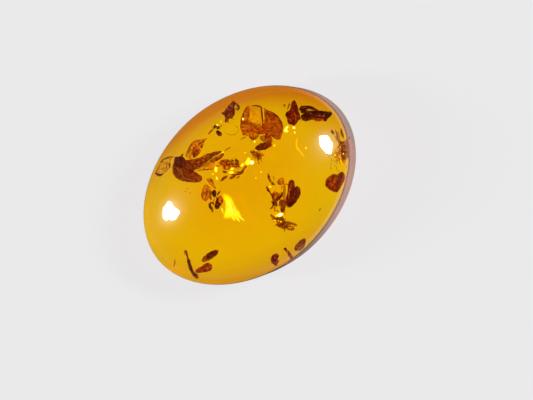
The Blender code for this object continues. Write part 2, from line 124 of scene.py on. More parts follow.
class Graph:
    """The node tree of one material or world, with its nodes made by short calls."""

    def __init__(self, tree: bpy.types.NodeTree) -> None:
        """Wraps a node tree."""
        self.tree = tree

    def feed(self, node: bpy.types.Node, sockets: Mapping[str | int, Any]) -> None:
        """Gives a node's inputs, by name or number, a link, a value or a colour without its alpha."""
        for key, value in sockets.items():
            taker = node.inputs[key]
            if isinstance(value, Level):
                self.tree.links.new(value.socket, taker)
            else:
                taker.default_value = (*value, 1.0) if taker.type == "RGBA" else value

    def read(self, kind: str, output: str | int, sockets: Mapping[str | int, Any], **settings: Any) -> Level:
        """Adds a node and reads one of its outputs.

        Args:
            kind: The node's type, after the word ShaderNode.
            output: The output, by name or number.
            sockets: What its inputs get.
            settings: Its own settings.

        Returns:
            The output.
        """
        node = self.tree.nodes.new("ShaderNode" + kind)
        for name, value in settings.items():
            setattr(node, name, value)
        self.feed(node, sockets)
        return Level(self, node.outputs[output])

    def math(self, operation: str, first: Level | float, second: Level | float) -> Level:
        """One Math node on two values."""
        return self.read("Math", 0, {0: first, 1: second}, operation=operation)

    def vector(self, operation: str, first: Level, second: Colour = (0.0, 0.0, 0.0)) -> Level:
        """One Vector Math node, whose value is read where it measures and else its vector."""
        output = "Value" if operation in ("LENGTH", "DOT_PRODUCT") else "Vector"
        return self.read("VectorMath", output, {0: first, 1: second}, operation=operation)

    def place(self) -> Level:
        """The place on the object, in metres."""
        return self.read("TexCoord", "Object", {})

    def noise(self, place: Level, size: float, detail: float, distortion: float = 0.0) -> Level:
        """Noise whose patches are about a size in millimetres, read at a place in metres."""
        sockets = {"Vector": place, "Scale": 1.0 / (size * MM), "Detail": detail, "Distortion": distortion}
        return self.read("TexNoise", "Fac", sockets)

    def streaks(self, along: Level, across: Level, third: Level | float, detail: float) -> Level:
        """Noise read at three numbers, of which the second runs fastest, so that it makes streaks."""
        lines = self.read("CombineXYZ", 0, {0: along, 1: across, 2: third})
        return self.read("TexNoise", "Fac", {"Vector": lines, "Scale": 1.0, "Detail": detail})

    def step(self, place: Level, span: tuple[float, float], levels: tuple[float, float]) -> Level:
        """A smooth step between two levels, over a span of a value."""
        sockets = dict(enumerate((place, *span, *levels)))
        return self.read("MapRange", 0, sockets, interpolation_type="SMOOTHSTEP")

    def mix(self, share: Level, first: Level | Colour, second: Level | Colour) -> Level:
        """A blend of two colours."""
        return self.read("Mix", 2, {0: share, 6: first, 7: second}, data_type="RGBA")

    def ramp(self, level: Level, stops: Sequence[tuple[float, Colour]]) -> Level:
        """The colour that stops, each a place and a colour, give at a level."""
        colour = self.read("ValToRGB", 0, {0: level})
        elements = colour.socket.node.color_ramp.elements
        while len(elements) < len(stops):
            elements.new(0.5)
        for element, (place, shade) in zip(elements, stops):
            element.position = place
            element.color = (*shade, 1.0)
        return colour

    def bump(self, height: Level, relief: float, strength: float = 1.0) -> Level:
        """The normal that a height gives, with its relief in millimetres."""
        return self.read("Bump", 0, {"Height": height, "Distance": relief * MM, "Strength": strength})

    def marks(self) -> tuple[Level, Level, Level, Level]:
        """A mesh's marks: its tone, how near the rim a point is, how far along and how far across."""
        colour = self.read("Attribute", "Color", {}, attribute_name="marks")
        tone = self.read("SeparateColor", 0, {0: colour})
        return tone, tone.beside(1), tone.beside(2), colour.beside("Alpha")


@dataclass(frozen=True)
class Finish:
    """What every finish has: a name, what its shader's inputs get, and how it is made."""

    name: str

    def sockets(self, graph: Graph) -> dict[str, Any]:
        """What the Principled shader's inputs get."""
        raise NotImplementedError

    def make(self) -> bpy.types.Material:
        """The material."""
        material = bpy.data.materials.new(self.name)
        material.use_nodes = True
        graph = Graph(material.node_tree)
        graph.feed(graph.tree.nodes["Principled BSDF"], self.sockets(graph))
        return material


@dataclass(frozen=True)
class AmberFinish(Finish):
    """Clear polished amber: plain transmission, with absorption that takes blue and then green.

    Its base colour is redder near the rim, most on one side, under an almost even polish. The
    tint's depth is a smooth step of the share of the way out, times the sum of even, the place
    along the tint's way, and flank times the square of that along the flank's. The side step adds
    a step along its way, and the polish's patches a little unevenness. Places are shares of the
    oval's half length and width.
    """

    stone: "Stone"
    index: float = 1.54
    absorbed: Colour = (0.9985, 0.933, 0.0)
    density: float = 1600.0
    roughness: float = 0.02
    polish_patch: float = 2.5
    polish_range: float = 0.015
    polish_relief: float = 0.0028
    grain: float = 0.35
    grain_share: float = 1.5
    haze: float = 0.08
    haze_roughness: float = 0.22
    clear: Colour = (1.0, 1.0, 0.15)
    skin: Colour = (0.64, 0.21, 0.0)
    tint_shares: tuple[float, float] = (0.55, 1.05)
    tint_way: tuple[float, float] = (0.36, 0.56)
    tint_even: float = 0.15
    flank: float = 0.8
    flank_way: tuple[float, float] = (0.39, 0.92)
    uneven: float = 0.12
    side_step: float = 0.05
    side_step_way: tuple[float, float] = (0.5, 0.87)
    side_step_span: tuple[float, float] = (-0.35, 0.25)

    def sockets(self, graph: Graph) -> dict[str, Any]:
        """What the shader's inputs get. The absorption goes straight to the material's output."""
        place = graph.place()
        patches = graph.noise(place, self.polish_patch, detail=5.0)
        shares = (1 / (self.stone.half_length * MM), 1 / (self.stone.half_width * MM), 0.0)
        oval = graph.vector("MULTIPLY", place, shares)
        ways = (self.tint_way, self.flank_way, self.side_step_way)
        side, flank, side_step = (graph.vector("DOT_PRODUCT", oval, (*way, 0.0)) for way in ways)
        step = graph.step(graph.vector("LENGTH", oval), self.tint_shares, (0.0, 1.0))
        depth = step * (self.tint_even + graph.math("MAXIMUM", side, 0.0) + self.flank * flank * flank)
        depth = depth + graph.step(side_step, self.side_step_span, (0.0, self.side_step)) + self.uneven * (patches - 0.5)
        fine = patches + self.grain_share * graph.noise(place, self.grain, detail=2.0)
        absorption = graph.read("VolumeAbsorption", 0, {"Color": self.absorbed, "Density": self.density})
        graph.feed(graph.tree.nodes["Material Output"], {"Volume": absorption})
        return {
            # the base colour goes from clear to the redder skin colour towards the rim, more on one side
            "Base Color": graph.mix(depth.clamped(), self.clear, self.skin),
            "Roughness": self.roughness + self.polish_range * patches,
            "Normal": graph.bump(fine, self.polish_relief),
            "IOR": self.index,
            "Transmission Weight": 1.0,
            "Coat Weight": self.haze,
            "Coat Roughness": self.haze_roughness,
        }


@dataclass(frozen=True)
class DebrisFinish(Finish):
    """Dried plant matter, from a dark to a pale tone.

    The mesh's tone is broken up by mottling in space and by streaks along the piece, and the rim
    darkens. The colour, the gloss and the amount that lets light through all follow the tone.
    """

    slot: Slot
    dark: Colour
    middle: Colour
    pale: Colour
    mottle: float = 0.2
    mottling: float = 2.0
    streaks: tuple[float, float] = (2.0, 16.0)
    streaking: float = 0.9
    rim: float = 0.12
    holes: float = 0.0
    hole_size: float = 0.2
    hole_edge: float = 14.0
    gloss: tuple[float, float] = (0.45, 0.75)
    solid: tuple[float, float] = (1.0, 1.0)
    relief: float = 0.03
    relief_strength: float = 0.7
    glow_through: float = 0.55
    depth: float = 0.3
    depths: Colour = (1.0, 0.55, 0.3)
    index: float = 1.45
    shine: float = 0.2

    def sockets(self, graph: Graph) -> dict[str, Any]:
        """What the shader's inputs get."""
        tone, edge, along, across = graph.marks()
        place = graph.place()
        streak = graph.streaks(along * self.streaks[0], across * self.streaks[1], tone, detail=3.0)
        mottle = graph.noise(place, self.mottle, detail=4.0, distortion=0.4)
        level = tone + self.mottling * (mottle - 0.5) + self.streaking * (streak - 0.5)
        level = (level - self.rim * edge**4).clamped()
        sockets = {
            "Base Color": graph.ramp(level, ((0.0, self.dark), (0.5, self.middle), (1.0, self.pale))),
            "Roughness": self.gloss[0] + (self.gloss[1] - self.gloss[0]) * mottle,
            "Normal": graph.bump(mottle + streak, self.relief, self.relief_strength),
            "IOR": self.index,
            "Specular IOR Level": self.shine,
            "Subsurface Weight": self.glow_through,
            "Subsurface Radius": self.depths,
            "Subsurface Scale": self.depth * MM,
        }
        solid = self.solid[0] + (self.solid[1] - self.solid[0]) * level
        if self.holes:
            gaps = graph.noise(place, self.hole_size, detail=1.0) - self.holes
            solid = solid * (self.hole_edge * gaps).clamped()
        if self.solid[1] < 1.0 or self.holes:
            sockets["Alpha"] = solid
        return sockets


@dataclass(frozen=True)
class GlintFinish(Finish):
    """A gas-filled crack painted with the light that its upper face would throw back: it glows, most at its
    core.

    Where it has a fade, it thins out in streaks towards its ends and its sides.
    """

    core: Colour
    rim: Colour
    strength: float
    fade: float = 0.0
    spread: tuple[float, float] = (1.5, 1.2)
    body: Colour = (0.8, 0.7, 0.3)
    gloss: float = 0.15
    streaks: tuple[float, float] = (1.5, 9.0)
    sparkle: float = 0.12
    core_sparkle: float = 3.0
    edge_fall: float = 1.5
    side_fall: float = 1.4
    end_fall: float = 7.0
    streak_span: tuple[float, float] = (-1.0, 2.6)

    def sockets(self, graph: Graph) -> dict[str, Any]:
        """What the shader's inputs get."""
        _, edge, along, across = graph.marks()
        sparkle = graph.noise(graph.place(), self.sparkle, detail=2.0) - 0.5
        inner = (self.spread[0] - self.spread[1] * edge**2 + self.core_sparkle * sparkle).clamped()
        # painted glint: only faces that look upwards glow
        facing = graph.read("SeparateXYZ", 2, {0: graph.read("NewGeometry", "Normal", {})})
        upwards = graph.step(facing, (-0.2, 0.2), (0.0, 1.0))
        solid = self.edge_fall * (1.0 - edge**2) + self.edge_fall * sparkle
        if self.fade:
            low, high = self.streak_span
            streak = graph.streaks(along * self.streaks[0], across * self.streaks[1], 0.0, detail=2.0)
            sides = (self.side_fall - self.side_fall * edge**2).clamped()
            ends = (self.end_fall * along * (1.0 - along)).clamped()
            solid = self.fade * sides * ends * (low + (high - low) * streak)
        return {
            "Base Color": self.body,
            "Roughness": self.gloss,
            "Emission Color": graph.mix(upwards, (0.0, 0.0, 0.0), graph.mix(inner, self.rim, self.core)),
            "Emission Strength": self.strength,
            "Alpha": solid.clamped(),
        }


@dataclass(frozen=True)
class FloorFinish(Finish):
    """A matt pale floor that glows like a light table, less so away from the middle.

    The glow falls to the far one between the pool's two radii. Through the stone it is brighter, as
    light is that a clear dome gathers under it, and goes from the first to the second of its two
    colours between the heart's radii. Mirrored rays see it dim, but for the side that lies along
    the bright way.
    """

    colour: Colour = (0.03, 0.03, 0.03)
    roughness: float = 0.9
    light: Colour = (1.0, 0.985, 1.0)
    glow: float = 0.76
    through: tuple[Colour, Colour] = ((1.12, 1.1, 1.1), (1.15, 0.985, 1.0))
    far_glow: float = 0.4
    heart: tuple[float, float] = (0.006, 0.01)
    pool: tuple[float, float] = (0.03, 0.09)
    bright_way: tuple[float, float] = (0.78, -0.63)
    mirrored: float = 0.1
    mirrored_light: Colour = (1.45, 1.12, 0.95)
    mirrored_span: tuple[float, float] = (0.002, 0.012)

    def sockets(self, graph: Graph) -> dict[str, Any]:
        """What the shader's inputs get."""
        place = graph.place()
        seen = graph.read("LightPath", "Is Camera Ray", {})
        mirrored = seen.beside("Is Reflection Ray")
        out = graph.vector("LENGTH", place)
        side = graph.vector("DOT_PRODUCT", place, (*self.bright_way, 0.0))
        pool = graph.step(out, self.pool, (1.0, self.far_glow))
        # painted reflection: mirrored rays see the floor dimmed, but for the bright side, and in a warmer
        # colour
        lost = graph.step(side, self.mirrored_span, (1 - self.mirrored, 0.0)) * mirrored
        # painted caustic: rays other than the camera's see the floor brighter than the camera does, in
        # another colour under the stone
        colour = graph.mix(graph.step(out, self.heart, (0.0, 1.0)), *self.through)
        colour = graph.mix(mirrored, graph.mix(seen, colour, self.light), self.mirrored_light)
        light = graph.read("VectorMath", 0, {0: colour, 3: pool * (1.0 - lost)}, operation="SCALE")
        return {
            "Base Color": self.colour,
            "Roughness": self.roughness,
            "Specular IOR Level": 0.0,
            "Emission Color": light,
            "Emission Strength": self.glow,
        }


BARK = DebrisFinish("dark_bark", Slot.BARK, (0.045, 0.009, 0.002), (0.19, 0.042, 0.006), (0.5, 0.18, 0.03))
LACE = replace(BARK, name="lacy_bark", dark=(0.08, 0.012, 0.003), middle=(0.38, 0.062, 0.008), holes=0.45)
HUSK = DebrisFinish(
    "brown_husk", Slot.HUSK, (0.09, 0.01, 0.002), (0.38, 0.08, 0.009), (0.85, 0.48, 0.05), solid=(1.0, 0.3)
)
FROND = replace(HUSK, name="frond_husk", middle=(0.46, 0.1, 0.01), pale=(0.8, 0.36, 0.03), solid=(1.0, 0.25))
SEED = DebrisFinish(
    "red_seed", Slot.SEED, (0.07, 0.005, 0.001), (0.27, 0.032, 0.005), (0.75, 0.24, 0.03),
    mottling=1.4, gloss=(0.3, 0.55),
)
TWO_TONE = replace(SEED, name="two_tone_husk", middle=(0.2, 0.04, 0.006), pale=(0.8, 0.3, 0.02))
LEAF = DebrisFinish(
    "orange_leaf", Slot.LEAF, (0.16, 0.014, 0.002), (0.54, 0.09, 0.008), (0.95, 0.38, 0.04), solid=(1.0, 0.2)
)
PALE = DebrisFinish(
    "pale_leaf", Slot.PALE, (0.2, 0.045, 0.004), (0.5, 0.18, 0.015), (0.85, 0.48, 0.05),
    rim=0.4, solid=(0.85, 0.1),
)
LOBES = replace(PALE, name="lobed_leaf", rim=0.0, solid=(0.9, 0.25))
# Painted glints: these finishes glow to stand in for the light that the cracks throw back
GLINT = GlintFinish("bright_glint", (1.0, 1.0, 14.0), (0.9, 0.7, 1.0), 1.5)
WHITE_GLINT = GlintFinish("white_glint", (1.0, 1.0, 170.0), (1.0, 0.9, 10.0), 2.0)
SOFT_GLINT = GlintFinish("soft_glint", (1.0, 0.9, 0.4), (1.0, 0.7, 0.15), 1.1)
FAN_GLINT = GlintFinish("fan_glint", (1.0, 1.0, 70.0), (0.9, 0.82, 0.3), 1.25, fade=1.2, spread=(0.7, 2.4))
LINE_GLINT = GlintFinish("healed_glint", (1.0, 0.85, 0.4), (1.0, 0.7, 0.2), 0.9, fade=0.7)


# The stone's form and the sight through it


@dataclass(frozen=True)
class Stone:
    """The clear cabochon: its sizes, its heights and its closed surface."""

    half_length: float = 10.049
    half_width: float = 7.399
    height: float = 6.8
    wall_height: float = 3.2
    back_share: float = 0.98
    dome_fullness: float = 0.8
    shoulder: float = 0.5
    shoulder_share: float = 0.0375
    back_edge: float = 0.2
    roundness: float = 1.95
    layer_middle: float = 3.15
    layer_drop: float = 0.85
    around: int = 240
    dome_rings: int = 70
    turn_rings: int = 8

    def share(self, x: Array, y: Array) -> Array:
        """How far out points lie: 0 at the middle and 1 at the rim, by the oval's own power."""
        power = self.roundness
        return (np.abs(x / self.half_length) ** power + np.abs(y / self.half_width) ** power) ** (1 / power)

    def dome_at(self, share: Array) -> Array:
        """Height of the dome at a share of the way out: the top of a flat ellipse, cut at fullness."""
        edge = math.sqrt(1 - self.dome_fullness**2)
        cap = (np.sqrt(1 - (self.dome_fullness * np.minimum(share, 1.0)) ** 2) - edge) / (1 - edge)
        return self.wall_height + (self.height - self.wall_height) * cap

    def dome(self, x: Array, y: Array) -> Array:
        """Height of the dome's surface over points."""
        return self.dome_at(self.share(x, y))

    def layer(self, x: Array, y: Array) -> Array:
        """Height of the debris layer over points: it drops with the square of the share."""
        return self.layer_middle - self.layer_drop * self.share(x, y) ** 2

    @staticmethod
    def normal(height: Height, x: Array, y: Array) -> Array:
        """The upward unit normals of a surface given by its height, from its slopes."""
        step = 0.01
        slope_x = (height(x + step, y) - height(x - step, y)) / (2 * step)
        slope_y = (height(x, y + step) - height(x, y - step)) / (2 * step)
        normals = np.stack([-slope_x, -slope_y, np.ones_like(slope_x)], axis=-1)
        return normals / np.linalg.norm(normals, axis=-1, keepdims=True)

    def turn(self, before: Array, corner: Array, after: Array) -> Array:
        """Points of the quadratic curve that rounds a corner of the profile."""
        t = np.linspace(0.0, 1.0, self.turn_rings)[:, None]
        return before * (1 - t) ** 2 + corner * 2 * t * (1 - t) + after * t**2

    def profile(self) -> Array:
        """The half outline along the length, from just off the top down to the back's middle."""
        dome_end = 1 - self.shoulder_share
        angles = np.linspace(0.0, math.asin(self.dome_fullness * dome_end), self.dome_rings)[1:]
        shares = np.sin(angles) / self.dome_fullness
        cap = np.stack([self.half_length * shares, self.dome_at(shares)], axis=-1)
        wall_top = np.array([self.half_length, self.wall_height])
        back_rim = np.array([self.half_length * self.back_share, 0.0])
        wall = (back_rim - wall_top) / np.linalg.norm(back_rim - wall_top)
        shoulder = self.turn(cap[-1], wall_top, wall_top + wall * self.shoulder)
        foot = back_rim - wall * self.back_edge
        side = np.linspace(shoulder[-1], foot, self.turn_rings)
        edge = self.turn(foot, back_rim, back_rim - np.array([self.back_edge, 0.0]))
        back = np.linspace(edge[-1], np.zeros(2), self.turn_rings)
        return np.concatenate([cap, shoulder[1:], side[1:], edge[1:], back[1:-1]])

    def skin(self) -> "Skin":
        """The closed surface: the profile turned round an oval of the stone's power."""
        angles = np.linspace(0.0, 2 * math.pi, self.around, endpoint=False)
        bend = 2 / self.roundness
        oval_x = np.sign(np.cos(angles)) * np.abs(np.cos(angles)) ** bend
        oval_y = np.sign(np.sin(angles)) * np.abs(np.sin(angles)) ** bend
        profile = self.profile()
        x = profile[:, :1] * oval_x
        y = profile[:, :1] * oval_y * self.half_width / self.half_length
        z = np.broadcast_to(profile[:, 1:], x.shape)
        rings = np.stack([x, y, z], axis=-1)
        marks = np.zeros((*x.shape, 4))
        return Skin.closed(np.array([0.0, 0.0, self.height]), rings, np.zeros(3), marks)


@dataclass(frozen=True)
class Sight:
    """The line of sight that the picture was taken along, and where it goes in the stone."""

    stone: Stone
    long_axis: float = math.radians(38.9)
    lean: float = math.radians(15.0)
    side: float = math.radians(8.0)
    height: float = 2.5
    index: float = 1.54
    distance: float = 600.0
    settling: int = 25

    def axes(self) -> tuple[Array, Array, Array]:
        """The picture's right and up and the way to the eye, in the stone's frame."""
        level_right = np.array([math.cos(self.long_axis), -math.sin(self.long_axis), 0.0])
        level_up = np.array([-level_right[1], level_right[0], 0.0])
        side = level_right * math.cos(self.side) + level_up * math.sin(self.side)
        eye = np.array([0.0, 0.0, math.cos(self.lean)]) + side * math.sin(self.lean)
        up = level_up - eye * (level_up @ eye)
        up /= np.linalg.norm(up)
        return np.cross(up, eye), up, eye

    def meet(self, start: Array, ray: Array, height: Height) -> Array:
        """Where rays that go down meet a surface given by its height, by repeated steps."""
        point = start.copy()
        for _ in range(self.settling):
            drop = (height(point[:, 0], point[:, 1]) - point[:, 2]) / ray[:, 2]
            point = point + ray * drop[:, None]
        return point

    def eye_point(self) -> Array:
        """Where the eye is: far off, over the point that shows in the middle of the picture."""
        right, up, eye = self.axes()
        across = (PICTURE_WIDTH / 2 - STONE_MIDDLE[0]) * PIXEL
        above = (STONE_MIDDLE[1] - PICTURE_HEIGHT / 2) * PIXEL
        return np.array([0.0, 0.0, self.height]) + across * right + above * up + eye * self.distance

    def on_dome(self, pixels: Array) -> tuple[Array, Array, Array]:
        """The dome's points and normals that show at places on the picture, and the ways to the eye."""
        right, up, _ = self.axes()
        across = (pixels[:, :1] - STONE_MIDDLE[0]) * PIXEL
        above = (STONE_MIDDLE[1] - pixels[:, 1:]) * PIXEL
        start = across * right + above * up + np.array([0.0, 0.0, self.height])
        ray = start - self.eye_point()
        ray /= np.linalg.norm(ray, axis=1, keepdims=True)
        surface = self.meet(start, ray, self.stone.dome)
        return surface, self.stone.normal(self.stone.dome, surface[:, 0], surface[:, 1]), -ray

    def under_dome(self, pixels: Pixels) -> Array:
        """Where things lie in the debris layer that show at places on the picture.

        The ray from the eye meets the dome, bends there by the law of refraction and goes on to
        the layer.

        Args:
            pixels: The places on the picture.

        Returns:
            The places across the stone, one row each.
        """
        surface, normal, eye = self.on_dome(np.reshape(pixels, (-1, 2)))
        ratio = 1 / self.index
        cosine = (normal * eye).sum(axis=1, keepdims=True)
        inner = np.sqrt(1 - ratio**2 * (1 - cosine**2))
        ray = -eye * ratio + normal * (ratio * cosine - inner)
        return self.meet(surface, ray, self.stone.layer)[:, :2]

    def mirrored(self, pixels: Array) -> tuple[Array, Array]:
        """The dome's points at places on the picture, and the ways that the eye sees mirrored there."""
        surface, normal, eye = self.on_dome(pixels)
        cosine = (normal * eye).sum(axis=1, keepdims=True)
        return surface, 2 * cosine * normal - eye


# Surfaces

CURVE_STEPS = 16  # steps between two drawn points, before the curve is read evenly
WAVES = 7  # plane waves in each layer of relief
TIP_SHARE = 0.3  # how far a tube's tip stands out, as a share of the radius there
RIM_GRAIN = 0.7  # the size of a rim's unevenness, as a share of the blade's grain
THICKNESS_GRAIN = 0.6  # that of its thickness
SHORTEST_REACH = 0.05  # the least way to the rim that its unevenness is measured by
FIBRE_SIDES = 6  # points round a fray or a rib
FIBRE_FLAT = 0.8
FRAY_STEPS = 6
FRAY_START = 0.94  # where a fray starts, as a share of the way to the rim
FRAY_TURN = 0.9  # the most that it leans from the straight way out, in radians
FRAY_LENGTHS = (0.08, 0.3)
FRAY_BEND = 0.4  # the most that it bends, as a share of its length
VEIN_STEPS = 10
VEIN_START = 0.93  # where a rib starts, as a share of the way to the rim
VEIN_ENDS = (0.1, 0.8)  # and between which shares it ends
VEIN_BEND = 0.35
STATIONS = (14, 90)  # the fewest and the most profiles of a strand
THINNEST = 0.008  # the least half width of a strand
BLUNTEST = 0.985  # how far round the strand's rounded end its last profile lies
THREAD_END = 0.35  # a thread's half width at its ends, as a share of that at its middle
THREAD_FULLNESS = 0.6  # 1 is a sine from end to end, and less is fuller
PELLET_SHARES = (0.0, 0.12, 0.3, 0.5, 0.7, 0.88, 1.0)  # the profiles' places along a pellet
PELLET_END = 0.02  # the least square of its half width, as a share of that at its middle


@dataclass
class Skin:
    """A mesh before it is made: points, four-sided and three-sided faces, and marks."""

    points: Array
    quads: Array
    triangles: Array
    marks: Array

    @staticmethod
    def closed(first: Array, rings: Array, last: Array, marks: Array) -> "Skin":
        """A closed surface of rings between two poles.

        Ring i, point j is joined to its neighbours in the ring and to ring i + 1. The faces point
        outwards where the way from ring to ring, crossed with the way round, points outwards.

        Args:
            first: The pole before the first ring.
            rings: The rings' points, by ring and by place round it.
            last: The pole after the last ring.
            marks: The marks of the rings' points. A pole takes its ring's mean.

        Returns:
            The surface.
        """
        count, around = rings.shape[:2]
        index = np.arange(count * around).reshape(count, around)
        beside = np.roll(index, -1, axis=1)
        quads = np.stack([index[:-1], index[1:], beside[1:], beside[:-1]], axis=-1).reshape(-1, 4)
        pole = count * around
        near = np.stack([np.full(around, pole), index[0], beside[0]], axis=-1)
        far = np.stack([np.full(around, pole + 1), beside[-1], index[-1]], axis=-1)
        points = np.concatenate([rings.reshape(-1, 3), first[None], last[None]])
        ends = np.stack([marks[0].mean(axis=0), marks[-1].mean(axis=0)])
        return Skin(points, quads, np.concatenate([near, far]), np.concatenate([marks.reshape(-1, 4), ends]))

    @staticmethod
    def joined(skins: Sequence["Skin"]) -> "Skin":
        """Several surfaces as one mesh."""
        starts = np.cumsum([0] + [len(skin.points) for skin in skins[:-1]])
        return Skin(
            np.concatenate([skin.points for skin in skins]),
            np.concatenate([skin.quads + start for skin, start in zip(skins, starts)]),
            np.concatenate([skin.triangles + start for skin, start in zip(skins, starts)]),
            np.concatenate([skin.marks for skin in skins]),
        )

    def make(self, name: str, finish: bpy.types.Material, sharp: float = 60.0) -> bpy.types.Object:
        """The surface as an object at the origin, in metres, smooth but for its sharp folds."""
        mesh = bpy.data.meshes.new(name)
        faces = self.quads.tolist() + self.triangles.tolist()
        mesh.from_pydata((self.points * MM).tolist(), [], faces)
        layer = mesh.attributes.new("marks", "FLOAT_COLOR", "POINT")
        layer.data.foreach_set("color", self.marks.astype(np.float32).ravel())
        mesh.shade_smooth()
        mesh.set_sharp_from_angle(angle=math.radians(sharp))
        mesh.materials.append(finish)
        return placed(name, mesh)


def placed(name: str, data: bpy.types.ID) -> bpy.types.Object:
    """An object of some data, put in the scene."""
    thing = bpy.data.objects.new(name, data)
    bpy.context.scene.collection.objects.link(thing)
    return thing


def through(points: Array, count: int, cyclic: bool) -> Array:
    """A smooth curve through points, with even steps.

    Each stretch is the cubic whose slope at a point is half the way between its neighbours, and
    the curve is then read at even lengths.

    Args:
        points: The points, one row each, with any number of columns.
        count: How many points to give back.
        cyclic: Whether the curve comes round to its start.

    Returns:
        The points on the curve.
    """
    if cyclic:
        padded = np.concatenate([points[-1:], points, points[:2]])
    else:
        padded = np.concatenate([2 * points[:1] - points[1:2], points, 2 * points[-1:] - points[-2:-1]])
    before, start, end, after = (padded[i : len(padded) - 3 + i, None] for i in range(4))
    t = np.linspace(0.0, 1.0, CURVE_STEPS, endpoint=False)[None, :, None]
    cubic = start + t * (end - before) / 2 + t**2 * (before - 2.5 * start + 2 * end - after / 2)
    cubic = cubic + t**3 * (1.5 * (start - end) + (after - before) / 2)
    dense = cubic.reshape(-1, points.shape[1])
    dense = np.concatenate([dense, points[:1] if cyclic else points[-1:]])
    lengths = np.concatenate([[0.0], np.cumsum(np.linalg.norm(np.diff(dense[:, :2], axis=0), axis=1))])
    places = np.linspace(0.0, lengths[-1], count, endpoint=not cyclic)
    return np.stack([np.interp(places, lengths, column) for column in dense.T], axis=-1)


def waves(points: Array, size: float, seed: int, layers: int = 3) -> Array:
    """Uneven relief between about -1 and 1: sums of plane waves of random heading and phase.

    Args:
        points: The places to read it at.
        size: The longest waves' length, which halves from layer to layer, as their height does.
        seed: Which relief.
        layers: How many layers.

    Returns:
        The relief at each place.
    """
    chance = np.random.default_rng(seed)
    relief = np.zeros(points.shape[:-1])
    for layer in range(layers):
        headings = chance.normal(size=(WAVES, points.shape[-1]))
        headings /= np.linalg.norm(headings, axis=1, keepdims=True)
        phases = chance.uniform(0.0, 2 * math.pi, WAVES)
        turns = points @ headings.T * (2 * math.pi * 2**layer / size)
        relief += np.sin(turns + phases).sum(axis=-1) / (WAVES / 2) * 0.5**layer
    return relief


def tube(centre: Array, radius: Array, flat: float, tones: Array, around: int, relief: Relief | None) -> Skin:
    """A closed tube: an oval profile carried along a line.

    Args:
        centre: The line's points.
        radius: The half width at each point.
        flat: The thickness as a share of the width.
        tones: The tone at each point.
        around: Points round the profile.
        relief: Gives the radius a factor, from the angle, the place along and the plain surface.

    Returns:
        The surface.
    """
    stations = len(centre)
    way = np.gradient(centre, axis=0)
    way /= np.linalg.norm(way, axis=1, keepdims=True)
    side = np.cross(way, np.array([0.0, 0.0, 1.0]))
    side /= np.linalg.norm(side, axis=1, keepdims=True)
    rise = np.cross(side, way)
    angle = np.linspace(0.0, 2 * math.pi, around, endpoint=False)[None, :]
    along = np.linspace(0.0, 1.0, stations)[:, None]
    ring = side[:, None] * np.cos(angle)[..., None] + rise[:, None] * np.sin(angle)[..., None] * flat
    points = centre[:, None] + ring * radius[:, None, None]
    if relief:
        swell = relief(angle, along, points)
        points = centre[:, None] + ring * (radius[:, None] * swell)[..., None]
    shape = points.shape[:2]
    marks = np.stack(
        [
            np.broadcast_to(tones[:, None], shape),
            np.broadcast_to(np.abs(np.cos(angle)), shape),
            np.broadcast_to(along, shape),
            np.broadcast_to(0.5 + 0.5 * np.cos(angle), shape),
        ],
        axis=-1,
    )
    first = centre[0] - way[0] * radius[0] * TIP_SHARE
    last = centre[-1] + way[-1] * radius[-1] * TIP_SHARE
    return Skin.closed(first, points, last, marks)


